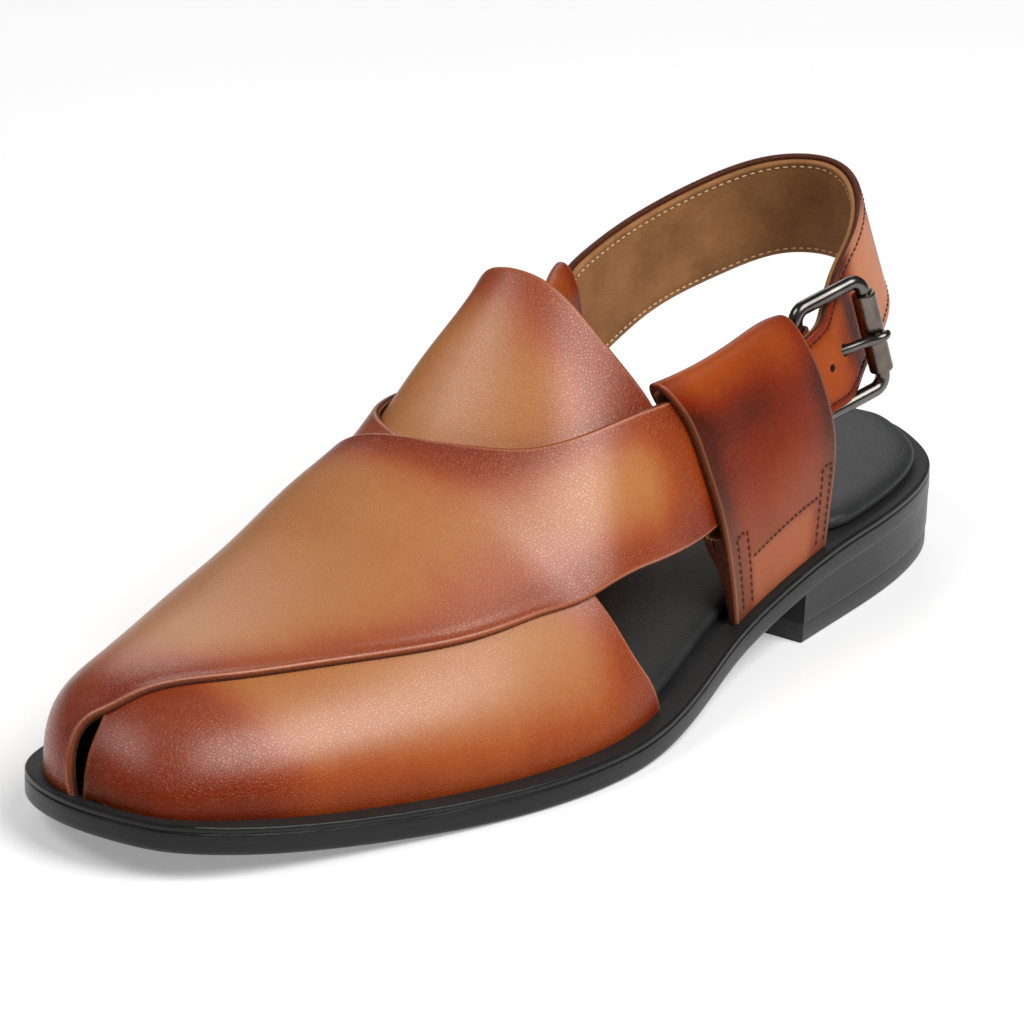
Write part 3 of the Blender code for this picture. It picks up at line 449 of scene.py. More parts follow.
class Finish:  # one material and its nodes
    def __init__(self, name):
        self.material = bpy.data.materials.new(name)
        self.material.use_nodes = True
        self.tree = self.material.node_tree
        self.shader = self.tree.nodes["Principled BSDF"]
        self.place = self.node("ShaderNodeTexCoord", {}, {}, "Object")

    def node(self, kind, settings, values, output=0):
        return Wire(self, addNode(self.tree, kind, settings, values).outputs[output])

    def noise(self, scale, detail=3.0, roughness=0.5, stretch=None, output="Fac"):
        place = self.place if stretch is None else self.node(
            "ShaderNodeMapping", {}, {"Vector": self.place, "Scale": stretch})
        return self.node("ShaderNodeTexNoise", {}, {
            "Vector": place, "Scale": scale, "Detail": detail, "Roughness": roughness}, output)

    def cells(self, scale, smoothness=0.6):
        return self.node("ShaderNodeTexVoronoi", {"feature": "SMOOTH_F1"}, {
            "Vector": self.place, "Scale": scale, "Smoothness": smoothness}, "Distance")

    def bands(self, fac, low, high, ends=(0.3, 0.7)):  # a ramp between two colours
        return self.ramp(fac, list(zip(ends, (low, high))))

    def value(self, name):  # an attribute painted on the points
        return self.node("ShaderNodeAttribute", {"attribute_name": name}, {}, "Fac")

    def upward(self):  # the height of the surface's own direction, 1 facing up
        facing = self.node("ShaderNodeTexCoord", {}, {}, "Normal")
        return self.node("ShaderNodeSeparateXYZ", {}, {0: facing}, "Z")

    def ramp(self, fac, stops):
        return self.node("ShaderNodeValToRGB", {"stops": stops}, {0: fac}, "Color")

    def blend(self, fac, first, second):
        return self.node("ShaderNodeMix", {"data_type": "RGBA", "clamp_factor": True},
                         {0: fac, 6: first, 7: second}, 2)

    def limit(self, fac, low, high):  # 0 below low, 1 above high
        return self.node("ShaderNodeMapRange", {"clamp": True, "interpolation_type": "SMOOTHSTEP"},
                         {0: fac, 1: low, 2: high, 3: 0.0, 4: 1.0})

    def relief(self, height, distance):
        return self.node("ShaderNodeBump", {}, {"Height": height, "Distance": distance,
                                                "Strength": 1.0}, "Normal")

    def set(self, **values):
        for name, value in values.items():
            feed(self.tree, self.shader.inputs[name.replace("_", " ")], value)
        return self.material


leather = {
    "light": linear(192, 131, 76), "tan": linear(180, 110, 54), "orange": linear(161, 71, 20),
    "red": linear(123, 36, 7), "deep": linear(74, 21, 5), "edge": linear(104, 50, 29),
    # the line colour is for painted highlight along cut edges and painted sheen on loops and strap
    "line": linear(212, 148, 110), "shine": (1.0, 0.70, 0.50, 1.0),
    "stops": {"light": 0.0, "tan": 0.22, "orange": 0.48, "red": 0.78, "deep": 1.0},
    "mottle": 55.0, "cloud": 420.0, "grain": 1250.0, "fine": 2600.0, "wander": 0.0007,
    "grainDepth": 0.00010, "pebbleEdge": 0.24, "seamDepth": 2.4, "seamStain": 0.55,
    "paintedHighlightMix": 0.6, "rough": 0.42, "burntGloss": 0.14, "waxLow": 0.30, "waxHigh": 0.66,
    "burntWax": 0.45, "coatRough": 0.40, "coatIor": 1.68,
}


def burnishedLeather(name, shift=0.0, grainDepth=1.0, polish=1.0, specular=0.36):
    f = Finish(name)
    burn, edge, seam, line = [f.value(key) for key in ("burn", "edge", "seam", "line")]
    mottle = f.noise(leather["mottle"], 4.0, 0.55)
    cloud = f.noise(leather["cloud"], 3.0, 0.6)
    tone = burn + (mottle - 0.5) * 0.22 + (cloud - 0.5) * 0.12 + shift
    color = f.ramp(tone, [(stop, leather[key]) for key, stop in leather["stops"].items()])
    color = f.blend(seam * leather["seamStain"], color, leather["deep"])
    color = f.blend(edge, color, leather["edge"])
    # painted highlight and sheen: the line attribute blends in a pale colour where light would
    # catch
    color = f.blend(line * leather["paintedHighlightMix"], color, leather["line"])
    drift = f.node("ShaderNodeVectorMath", {"operation": "SCALE"}, {
        0: f.noise(500.0, 2.0, output="Color"), 3: leather["wander"]})
    bent = f.node("ShaderNodeVectorMath", {"operation": "ADD"}, {0: f.place, 1: drift})
    groove = f.node("ShaderNodeTexVoronoi", {"feature": "DISTANCE_TO_EDGE"},
                    {"Vector": bent, "Scale": leather["grain"]}, "Distance")
    pebble = f.limit(groove, 0.0, leather["pebbleEdge"])
    fine = f.noise(leather["fine"], 2.0, 0.6)
    height = pebble * 0.6 + fine * 0.35 + f.noise(900.0, 2.0, 0.5) * 0.5 \
        - seam * leather["seamDepth"]
    rough = leather["rough"] + (mottle - 0.5) * 0.10 + (fine - 0.5) * 0.08 + edge * 0.15 \
        - f.limit(burn, 0.5, 0.64) * leather["burntGloss"]
    wax = (f.limit(f.upward(), leather["waxLow"], leather["waxHigh"]) * 0.95 + 0.05) * polish
    wax = wax * (pebble * 0.4 + mottle * 0.3 + 0.5) \
        * (1.0 - f.limit(burn, 0.45, 0.8) * leather["burntWax"])
    return f.set(Base_Color=color, Roughness=rough, Coat_Weight=wax,
                 Coat_Roughness=leather["coatRough"], Coat_IOR=leather["coatIor"],
                 Specular_IOR_Level=specular, Specular_Tint=leather["shine"],
                 Normal=f.relief(height, leather["grainDepth"] * grainDepth))


def liningLeather(name):  # matt camel lining with a soft nap
    f = Finish(name)
    nap = f.noise(90.0, 5.0, 0.6)
    hair = f.noise(700.0, 3.0, stretch=(1.0, 1.0, 4.0))
    seam = f.value("seam")
    color = f.ramp(nap + (hair - 0.5) * 0.35, [(0.25, linear(132, 88, 50)),
                                               (0.55, linear(158, 108, 64)),
                                               (0.85, linear(176, 126, 80))])
    color = f.blend(seam * 0.35, color, linear(96, 58, 32))
    return f.set(Base_Color=color, Roughness=0.74, Specular_IOR_Level=0.3,
                 Normal=f.relief(hair * 0.6 + f.cells(1500.0) * 0.5, 0.00008))


def fineGrained(name, dark, light, grain, rough, specular, depth):  # cut edge and thread
    f = Finish(name)
    fine = f.noise(*grain)
    return f.set(Base_Color=f.bands(fine, linear(*dark), linear(*light)), Roughness=rough,
                 Specular_IOR_Level=specular, Normal=f.relief(fine, depth))


def blackLeather(name, low, high, roughness, grain, depth):
    f = Finish(name)
    cloud, fine = f.noise(60.0, 4.0, 0.6), f.noise(grain, 3.0, 0.6)
    color = f.bands(cloud * 0.6 + fine * 0.4, linear(*low), linear(*high), (0.3, 0.75))
    rough = roughness + (cloud - 0.5) * 0.16 + (fine - 0.5) * 0.08
    height = f.cells(grain, 0.4) * 0.7 + fine * 0.4
    return f.set(Base_Color=color, Roughness=rough, Normal=f.relief(height, depth))


def soleEdgeLeather(name):  # stacked leather, stained black and waxed, with faint layers
    f = Finish(name)
    layers = f.noise(260.0, 4.0, stretch=(0.12, 0.12, 6.0))
    scuff = f.noise(140.0, 5.0, 0.7)
    color = f.bands(layers * 0.6 + scuff * 0.4, linear(12, 11, 11), linear(29, 28, 28),
                    (0.3, 0.75))
    rough = 0.36 + (layers - 0.5) * 0.22 + (scuff - 0.5) * 0.15
    return f.set(Base_Color=color, Roughness=rough, Specular_IOR_Level=0.30,
                 Normal=f.relief(layers * 0.7 + scuff * 0.3, 0.00012))


def platedMetal(name, low, high, roughness):
    f = Finish(name)
    cloud, fine = f.noise(160.0, 3.0, 0.5), f.noise(2200.0, 2.0, 0.6)
    rough = roughness + (fine - 0.5) * 0.10 + (cloud - 0.5) * 0.08
    return f.set(Base_Color=f.bands(cloud, linear(*low), linear(*high)), Roughness=rough,
                 Metallic=1.0, Normal=f.relief(fine, 0.00001))


tanLeather = burnishedLeather("tanLeather")
loopLeather = burnishedLeather("loopLeather", 0.16, 0.6, 0.4, 0.10)
strapLeather = burnishedLeather("strapLeather", 0.26, 0.6, 0.5, 0.12)
lining = liningLeather("liningLeather")
rawEdge = fineGrained("cutEdge", (58, 26, 15), (98, 48, 29), (1400.0, 3.0, 0.6), 0.6, 0.25,
                      0.00008)
soleBlack = soleEdgeLeather("soleBlack")
sockBlack = blackLeather("sockBlack", (24, 25, 25), (44, 45, 45), 0.5, 1500.0, 0.00006)
rubberBlack = blackLeather("rubberBlack", (18, 17, 17), (37, 36, 35), 0.44, 900.0, 0.00006)
treadBlack = blackLeather("treadBlack", (24, 23, 22), (50, 48, 46), 0.62, 700.0, 0.00012)
weltBlack = blackLeather("weltBlack", (16, 16, 16), (34, 33, 33), 0.62, 1100.0, 0.00005)
gunmetal = platedMetal("gunmetal", (84, 80, 78), (116, 111, 107), 0.2)
rollerMetal = platedMetal("rollerMetal", (96, 88, 82), (124, 115, 107), 0.26)
darkThread, creamThread = [
    fineGrained(name, dark, light, (2400.0, 2.0, 0.5), 0.7, 0.2, 0.00006)
    for name, dark, light in (("darkThread", (46, 20, 14), (84, 38, 26)),
                              ("creamThread", (196, 158, 112), (232, 204, 164)))]
print("materials made")


# black sole, heel, top lift and padded sock
# Edges are rows of margin inside the outline and height, from below.
soleLook = {
    "stations": 230, "heelStations": 110, "widens": 3.6, "widensY": 72.0, "widensRun": 10.0,
    "weltFrom": 15, "padThinY": -144.0, "padThinRun": 14.0,
    "outsole": [(2.2, 0.0), (1.2, 0.06), (0.5, 0.35), (0.12, 0.9), (0.0, 1.7), (0.0, 3.3),
                (0.0, 4.9), (0.06, 5.15), (0.22, 5.35), (0.28, 5.5), (0.22, 5.65), (0.06, 5.85),
                (0.0, 6.1), (0.03, 6.6), (0.2, 6.95), (0.55, 7.15), (1.1, 7.2), (3.0, 7.2),
                (6.4, 7.2)],
    "heelLow": [(0.62, 0.03), (0.45, 0.3), (0.36, 1.0), (0.3, 3.0)],
    "heelHigh": [(0.2, -1.2), (0.12, 0.2), (0.14, 0.95)],
    "liftLow": [(1.7, 0.0), (1.0, 0.12), (0.65, 0.6), (0.58, 2.5)],
    "liftHigh": [(0.56, -0.15), (0.62, 0.0)],
    "sock": [(1.2, 0.3), (0.5, 0.6), (0.3, 1.2), (0.3, 2.0), (0.5, 2.6), (0.95, 3.05),
             (1.6, 3.4), (2.3, 3.62), (2.9, 3.76), (3.8, 3.92), (5.0, 4.1), (8.0, 4.2)],
}


def soleRing(margin, stations, startY):
    lateral, medial = outlineHalves(margin, 700)
    first, end = lateral[0, 1], lateral[-1, 1]
    share = np.linspace(0.0, 1.0, stations)
    if startY is None:
        y = first + (end - first) * (1.0 - np.cos(math.pi * share)) / 2.0
    else:
        y = startY + (end - startY) * np.sin(math.pi / 2.0 * share)
    out = np.stack([np.interp(y, lateral[:, 1], lateral[:, 0]), y], axis=1)
    back = np.stack([np.interp(y, medial[:, 1], medial[:, 0]), y], axis=1)
    back = back[-2:0:-1] if startY is None else back[-2::-1]
    return np.concatenate([out, back])


def soleStack(name, levels, stations, materials, startY=None, widens=0.0):
    # rings stacked upward; a level is a margin and a height function of y, and the
    # materials are one for all, or the side's, the underside's and the welt's
    rings = []
    for margin, height in levels:
        ring = soleRing(margin, stations, startY)
        if widens:
            wide = soleRing(margin - widens, stations, startY)
            ring = ring + past(ring[:, 1:], soleLook["widensY"], soleLook["widensRun"]) \
                * (wide - ring)
        rings.append(np.column_stack([ring, np.broadcast_to(height(ring[:, 1]), len(ring))]))
    size = len(rings[0])
    faces = sweepFaces(len(rings), size)[:-2]
    side, tread, welt = (0, 1, 2) if len(materials) > 1 else (0, 0, 0)
    low = soleLook["weltFrom"] * size
    kinds = [side if k < low else welt for k in range(len(faces))]
    shift = 0 if startY is None else 1
    last = (len(rings) - 1) * size
    for i in range(stations - 1):
        quad = [i, (size - shift - i) % size, (size - shift - i - 1) % size, i + 1]
        quad = [k for n, k in enumerate(quad) if k not in quad[:n]]
        if len(quad) > 2:
            faces.append(quad)
            faces.append([last + k for k in reversed(quad)])
            kinds += [tread, welt]
    return meshObject(name, np.concatenate(rings), faces, materials, kinds)


def levels(base, key):  # heights over a base height
    return [(margin, lambda y, height=height: base(y) + height)
            for margin, height in soleLook[key]]


def ground(y):
    return 0.0 * y


def liftTop(y):
    return 0.0 * y + soleShape["topLift"]


outsole = soleStack("outsoleEdge", levels(soleUnderside, "outsole"), soleLook["stations"],
                    [soleBlack, treadBlack, weltBlack])
finishPiece(outsole, "outsole", "outsole")
for name, node, stack, black in (
        ("heelBlock", "heel", levels(liftTop, "heelLow") + levels(soleUnderside, "heelHigh"),
         soleBlack),
        ("topLift", "top_lift", levels(ground, "liftLow") + levels(liftTop, "liftHigh"),
         rubberBlack)):
    block = soleStack(name, stack, soleLook["heelStations"], [black], soleShape["breastY"])
    finishPiece(block, node, node)


def paddedHeight(height):  # padding thins toward the toe's tip
    return lambda y: seat(y) + (height - soleShape["gap"]) \
        * (0.5 + 0.5 * past(y, soleLook["padThinY"], soleLook["padThinRun"]))


sock = soleStack("sockPad", [(soleShape["insoleMargin"] + m, paddedHeight(h))
                             for m, h in soleLook["sock"]], soleLook["stations"], [sockBlack],
                 widens=soleLook["widens"])
finishPiece(sock, "insole", "insole")
print("sole made")


# leather panels drawn over the last
# Panel edges are rows of girth from the crest line and place along the shoe. A burn is a
# strength with its reach, and the toe's is a strength, the y where it fades and the run.
# A bead row is a rise, its reach and its place in from the front edge.
# line, lineReach and lineIn give the strength, width and place in from the cut edge of a painted
# highlight
vampLook = {"leather": 1.8, "overLeather": 2.2, "edgeRound": 0.75, "overRound": 0.85,
            "liningRound": 0.3, "lift": 1.2, "liftRun": 20.0, "tongueGap": 0.75,
            "cutEdge": 0.4, "line": 0.75, "lineReach": 0.2, "lineIn": 0.6, "foot": 0.5,
            "footRun": 2.5}
underLook = {
    "side": 1, "slitFoot": -15.2, "heelY": -14.0, "rows": 170, "columns": 84,
    "front": [(-0.8, -144.4), (0.0, -142.6), (0.0, -138.0), (-3.0, -132.0), (-14.0, -112.0),
              (-30.0, -75.0), (-46.0, -33.0), (-56.0, -17.0), (-69.0, -5.0), (-83.0, 10.0),
              (-92.0, 38.0)],
    "rear": [(91.0, -17.0), (80.0, -21.0), (68.0, -23.5), (45.0, -27.5), (15.0, -31.0),
             (0.0, -30.5), (-11.0, -26.5), (-23.0, -16.0), (-32.0, -7.0), (-42.0, 3.0),
             (-52.0, 15.0), (-58.0, 24.0), (-66.0, 38.0)],
    "burn": 0.20, "toeBurn": (0.60, -131.0, 22.0), "frontBurn": (0.22, 5.0),
    "rearBurn": (0.40, 9.0), "lowBurn": (0.42, 12.0), "wander": (0.05, 3),
}
overLook = {
    "side": -1, "slitFoot": -16.4, "heelY": -8.0, "rows": 190, "columns": 96,
    "front": [(-3.4, -144.0), (-3.05, -142.0), (-2.7, -140.3), (-1.5, -138.5), (1.5, -135.9),
              (3.9, -131.9), (6.1, -127.0), (14.2, -113.4), (26.6, -92.0), (40.3, -68.0),
              (49.0, -50.0), (54.8, -34.5), (62.6, -21.0), (77.4, -3.4), (90.0, 17.0),
              (97.0, 34.0)],
    "rear": [(-65.0, -15.0), (-47.0, -23.0), (-34.0, -28.5), (-22.0, -31.5), (-8.0, -31.0),
             (5.0, -29.0), (13.0, -26.0), (28.0, -18.5), (40.0, -8.0), (50.0, 6.0),
             (58.0, 20.0), (67.0, 38.0)],
    "burn": 0.20, "toeBurn": (0.46, -135.0, 30.0), "frontBurn": (0.42, 8.5),
    "rearBurn": (0.44, 7.0), "loopBurn": 0.45, "loopBurnX": (20.0, 10.0),
    "loopBurnY": (-2.0, 18.0), "wander": (0.05, 5),
    "bead": [(0.16, 0.6, 0.9), (-0.20, 0.7, 2.3)], "beadRun": 9.0, "beadFade": (-44.0, 14.0),
    "step": (0.22, 2.4, 17.0),
    "spots": [  # x, y, z, reach along X, Y, Z, strength
        (-16.0, -28.0, 68.0, 16.0, 12.0, 16.0, 0.36), (6.0, -29.0, 63.0, 15.0, 9.0, 12.0, 0.30),
        (22.0, -52.0, 44.0, 10.0, 26.0, 9.0, 0.22), (38.0, -24.0, 40.0, 12.0, 20.0, 12.0, 0.18)],
}
tongueLook = {
    "rows": 110, "columns": 110,
    "rear": [(-57.0, 17.5), (-48.0, 16.0), (-37.0, 12.5), (-24.0, 7.2), (-12.0, 3.3),
             (0.0, 2.9), (10.0, 4.8), (20.0, 6.2), (30.0, 7.4), (40.0, 9.5), (49.0, 12.0),
             (58.0, 14.4)],
    "front": [(-42.0, -38.0), (-22.0, -47.0), (0.0, -50.0), (22.0, -47.0), (45.0, -36.0)],
    "medial": [(-42.0, -38.0), (-55.0, -18.0), (-59.0, 2.0), (-57.0, 17.5)],
    "lateral": [(45.0, -36.0), (57.0, -18.0), (60.5, -2.0), (58.0, 14.4)],
    "burn": 0.18, "rearBurn": (0.44, 9.5), "lateralBurn": 0.24, "lateralBurnX": (2.0, 24.0),
    "wander": (0.06, 8), "dip": 2.6, "dipAcross": (14.0, -18.0), "dipAlong": (8.5, -1.0),
    "spots": [
        (0.0, 2.0, 86.0, 22.0, 8.0, 10.0, 0.22), (24.0, 0.0, 70.0, 10.0, 12.0, 14.0, 0.25),
        (4.0, -28.0, 58.0, 14.0, 10.0, 10.0, 0.14)],
}


def coonsGrid(front, rear, start, end, along, across):
    u, v = along[:, None, None], across[None, :, None]
    ruled = (1.0 - v) * front[:, None] + v * rear[:, None]
    crossed = (1.0 - u) * start[None] + u * end[None]
    corners = ((1.0 - u) * (1.0 - v) * front[0] + (1.0 - u) * v * rear[0]
               + u * (1.0 - v) * front[-1] + u * v * rear[-1])
    return ruled + crossed - corners


def featherEdge(look, shares):  # along the last's lower edge, from the toe slit back
    tip, side = lastShape["toeTipY"] + 0.01, look["side"]
    close = np.linspace(tip, tip + 3.0, 300)
    footY = float(np.interp(-look["slitFoot"], -featherX(close)[1], close))
    first = footY if side < 0 else tip
    y = first + (look["heelY"] - first) * np.linspace(0.0, 1.0, 500) ** 2
    line = np.stack([halfGirths(y)[0 if side < 0 else 1], y], axis=1)
    if side > 0:
        y = np.linspace(footY, tip, 60)
        line = np.concatenate([np.stack([halfGirths(y)[0], y], axis=1), line])
    run = arcRun(line)
    return resampled(line, shares * run[-1], run)


def bandGrid(look):
    along, across = crowded(look["rows"], 190.0, (0.5, 1.5)), crowded(look["columns"], 75.0)
    start = featherEdge(look, across)
    front = curveAt([tuple(start[0])] + look["front"], along)
    rear = curveAt([tuple(start[-1])] + look["rear"], along)
    end = curveAt([tuple(front[-1]), tuple(rear[-1])], across)
    return coonsGrid(front, rear, start, end, along, across)


def insidePolygon(points, polygon):
    inside = np.zeros(points.shape[:-1], bool)
    px, py = points[..., 0], points[..., 1]
    for (ax, ay), (bx, by) in zip(polygon, np.roll(polygon, -1, axis=0)):
        crossing = (ay > py) != (by > py)
        inside ^= crossing & (px < (bx - ax) * (py - ay) / (by - ay + 1e-12) + ax)
    return inside


class Panel:  # a leather panel on the last: its pattern grid, its places and its edges
    def __init__(self, grid):
        self.grid = grid
        self.across, self.y = grid[..., 0], grid[..., 1]
        self.base = lastPoint(self.y, self.across)
        self.normal = lastNormal(self.y, self.across)
        self.front = nearTo(self.base, self.base[:, 0])
        self.rear = nearTo(self.base, self.base[:, -1])

    def raised(self, height):
        point = self.base + self.normal * height[..., None]
        floor = seat(point[..., 1])
        low = np.maximum(point[..., 2], floor)
        point[..., 2] = low - vampLook["foot"] * (1.0 - past(low, floor, vampLook["footRun"]))
        return point


def burnish(panel, look, extra):  # tone of the leather: 0 light tan, 1 darkest
    burn, y = look["burn"] + extra, panel.base[..., 1]
    for distance, key in ((panel.front, "frontBurn"), (panel.rear, "rearBurn")):
        strength, reach = look.get(key, (0.0, 1.0))
        burn = burn + strength * near(distance, reach)
    strength, start, run = look.get("toeBurn", (0.0, 0.0, 1.0))
    burn = burn + strength * (1.0 - past(y, start, run)) + spots(panel.base, look.get("spots", []))
    scale, seed = look["wander"]
    return softCap(burn + 0.05 * wander(panel.base, scale, seed))


def buildPanel(name, node, panel, top, bottom, free, burn):
    piece = twoSided(name, panel.raised(top), panel.raised(bottom), sheetFaces,
                     [tanLeather, lining, rawEdge])
    # painted highlight: a thin pale line a little in from the cut edge
    line = vampLook["line"] * near(free, vampLook["lineReach"], vampLook["lineIn"])
    paintSheet(piece, burn, free, line)
    finishPiece(piece, node, node)


# under band: lateral side of the vamp, then up and over to the medial loop
under = Panel(bandGrid(underLook))
free = np.minimum(under.front, under.rear)
strength, reach = underLook["lowBurn"]
low = strength * near(under.base[..., 2] - soleTop(under.base[..., 1]), reach)
buildPanel("underBand", "upper", under,
           vampLook["leather"] - rounded(free, vampLook["edgeRound"]),
           rounded(free, vampLook["liningRound"]), free, burnish(under, underLook, low))

# over band: medial side of the vamp, then over the under band to the lateral loop
band = Panel(bandGrid(overLook))
outline = np.concatenate([under.grid[:, 0], under.grid[-1], under.grid[::-1, -1],
                          under.grid[0, ::-1]])
hidden = np.concatenate([under.base[:, 0], under.base[-1], under.base[::-1, -1]])
beyond = np.where(insidePolygon(band.grid, outline), 0.0, 1.0) * nearTo(band.base, hidden)
lift = vampLook["lift"] * (1.0 - past(beyond, 0.5, vampLook["liftRun"]))
free = np.minimum(band.front, band.rear)
bead = sum(rise * near(band.front, reach, middle) for rise, reach, middle in overLook["bead"])
bead = bead * (1.0 - past(beyond, 0.0, overLook["beadRun"])) \
    * (1.0 - past(band.y, *overLook["beadFade"]))
rise, reach, length = overLook["step"]
fromStep = nearTo(band.base, under.base[:, -1])
bead = bead + rise * near(fromStep, reach) * near(band.front, length)
atLoop = overLook["loopBurn"] * past(band.base[..., 1], *overLook["loopBurnY"]) \
    * past(band.base[..., 0], *overLook["loopBurnX"])
buildPanel("overBand", "upper", band,
           lift + vampLook["overLeather"] + bead - rounded(free, vampLook["overRound"]),
           lift + rounded(free, vampLook["liningRound"]), free, burnish(band, overLook, atLoop))

# tongue: the hump that stands out from under both bands
along, across = crowded(tongueLook["rows"], 120.0), crowded(tongueLook["columns"], 60.0)
hump = Panel(coonsGrid(curveAt(tongueLook["front"], along), curveAt(tongueLook["rear"], along),
                       curveAt(tongueLook["medial"], across),
                       curveAt(tongueLook["lateral"], across), along, across))
sunk = vampLook["tongueGap"] + tongueLook["dip"] * near(hump.across, *tongueLook["dipAcross"]) \
    * near(hump.y, *tongueLook["dipAlong"])
lateralBurn = tongueLook["lateralBurn"] * past(hump.base[..., 0], *tongueLook["lateralBurnX"])
buildPanel("tonguePanel", "tongue", hump,
           -sunk - rounded(hump.rear, vampLook["edgeRound"]),
           -sunk - vampLook["leather"] + rounded(hump.rear, vampLook["liningRound"]), hump.rear,
           burnish(hump, tongueLook, lateralBurn))
print("vamp bands and tongue made")


# side loops, folded over at the top and open for the bands and the strap
loopLook = {
    # a pair is where something starts and the run it takes; a burn is strength and reach
    "columns": 74, "high": 65.0, "wide": 46.0, "edgeRound": 0.7, "pocketRound": 0.35,
    "lean": (34.0, 28.0), "standIn": (1.5, 3.0), "deepStart": 0.2, "deepRun": 0.3,
    "foldRun": 0.12, "roomY": (28.0, 24.0), "slim": 1.3, "slimRun": 7.0,
    # line is the strength of a painted highlight at the loop's ends; the three keys after it give
    # a painted sheen low on the loop and on the pale patch
    "seamOut": 4.3, "stitchOut": 4.25, "groove": 0.55, "line": 0.5, "paintedSheen": 0.22,
    "paintedSheenTop": 0.6, "paintedSheenRun": 0.4, "bareIn": (7.5, 4.0), "bareTop": (0.185, 0.05),
    "barePale": 0.12, "burn": 0.66, "edgeBurn": (0.22, 6.0), "topPale": (0.30, 0.70, 0.25),
    "upperBurn": (0.20, 0.13, 0.80), "rearPale": (58.0, 26.0), "wander": (0.09, 0.07, 11),
    "section": np.array([  # share of the height, out, pocket's share, pocket's out
        (0.000, 4.3, 0.352, 1.1), (0.130, 4.3, 0.353, 1.9), (0.330, 4.3, 0.365, 2.6),
        (0.520, 4.3, 0.520, 2.6), (0.720, 4.3, 0.720, 2.6), (0.880, 4.3, 0.880, 2.6),
        (0.950, 4.0, 0.935, 2.4), (0.985, 3.2, 0.957, 1.9), (1.000, 1.8, 0.966, 1.1),
        (0.997, 0.2, 0.965, 0.2), (0.980, -1.2, 0.955, -0.7), (0.945, -2.3, 0.930, -1.2),
        (0.880, -2.9, 0.880, -1.5), (0.720, -3.0, 0.720, -1.5), (0.520, -3.0, 0.520, -1.5),
        (0.345, -2.4, 0.370, -1.2), (0.190, -0.5, 0.356, -0.5), (0.105, 0.5, 0.352, 0.1),
        (0.000, 0.5, 0.352, 0.6)]),
    "lateral": {
        "side": 1, "room": 2.3, "setback": 4.5, "seams": [  # rows of share of the height, across
            [(0.03, 0.085), (0.325, 0.085), (0.33, 0.165)], [(0.03, 0.185), (0.33, 0.185)],
            [(0.03, 0.95), (0.35, 0.95), (0.355, 0.885)], [(0.03, 0.87), (0.355, 0.87)],
            [(0.205, 0.22), (0.235, 0.85)]],
        "edges": np.array([  # share, front y, rear y, lean
            (0.00, 26.0, 70.0, 0.0), (0.20, 24.5, 72.5, 0.2), (0.45, 22.5, 73.0, 1.6),
            (0.65, 20.0, 70.5, 1.7), (0.85, 17.5, 66.5, 1.0), (1.00, 13.0, 62.0, 0.2)]),
        "fold": np.array([(11.0, 75.0), (23.0, 75.8), (33.0, 76.8), (44.0, 78.4),
                          (57.0, 80.0), (66.0, 79.0)])},
    "medial": {
        "side": -1, "room": 0.8, "setback": 0.0, "seams": [
            [(0.05, 0.08), (0.88, 0.08), (0.88, 0.93), (0.05, 0.93)],
            [(0.05, 0.15), (0.83, 0.15)], [(0.70, 0.30), (0.70, 0.72)]],
        "edges": np.array([
            (0.00, 33.0, 70.0, 0.0), (0.20, 31.0, 71.5, 1.6), (0.45, 28.5, 68.0, 4.6),
            (0.65, 25.5, 62.0, 6.8), (0.85, 22.5, 58.8, 8.5), (1.00, 18.5, 58.0, 9.4)]),
        "fold": np.array([(18.0, 71.5), (32.0, 75.2), (43.0, 78.6), (50.0, 79.8),
                          (56.0, 80.2), (63.0, 80.6)])},
}


def wallPoint(side, y, z, out):  # at height z on one side of the last, moved outward
    def surface(y, z):
        share = toeShare(y)
        full = fullLateral(share) if side > 0 else fullMedial(share)
        footX = featherX(y)[0 if side > 0 else 1]
        level = np.clip((z - seat(y)) / crestRise(share), 0.0, 0.98)
        crest = crestX(share)
        return crest + (footX - crest) * (1.0 - level ** full) ** (1.0 / full)
    y, z, out = np.broadcast_arrays(*[np.asarray(v, float) for v in (y, z, out)])
    reach = 0.5
    slopeY = (surface(y + reach, z) - surface(y - reach, z)) / (2.0 * reach)
    slopeZ = (surface(y, z + reach) - surface(y, z - reach)) / (2.0 * reach)
    slopeZ = slopeZ * past(z - soleTop(y), *loopLook["standIn"])
    normal = unit(side * np.stack([np.ones(y.shape), -slopeY, -slopeZ], axis=-1))
    point = np.stack([surface(y, z), y, z], axis=-1) + normal * out[..., None]
    point[..., 2] = np.maximum(point[..., 2], soleTop(point[..., 1]) - 0.2)
    return point


def loopCurve(loop, key, column, at):
    return smoothCurve(loop[key][:, 0], loop[key][:, column])(at)


def loopLean(loop, share, y):
    return loopCurve(loop, "edges", 3, share) * past(y, *loopLook["lean"])


def foldHeight(loop, y):
    return loopCurve(loop, "fold", 1, y)


def loopEdges(loop, share):
    return [loopCurve(loop, "edges", column, share) for column in (1, 2)]


def loopSeam(loop, route, out):  # route: rows of share of the height and share across
    route = np.asarray(route, float)
    t = np.linspace(0.0, len(route) - 1.0, 60 * (len(route) - 1))
    share, column = [np.interp(t, np.arange(len(route)), route[:, k]) for k in (0, 1)]
    front, rear = loopEdges(loop, share)
    y = front + column * (rear - front)
    floor = seat(y)
    z = floor + share * (foldHeight(loop, y) - floor)
    out = out + loopLean(loop, share, y)
    at = wallPoint(loop["side"], y, z, out)
    return at, wallPoint(loop["side"], y, z, out + 1.0) - at


def barePatch(fromEnd, share):  # the paler patch inside the stitched rows
    return past(fromEnd, *loopLook["bareIn"]) * (1.0 - past(share, *loopLook["bareTop"]))


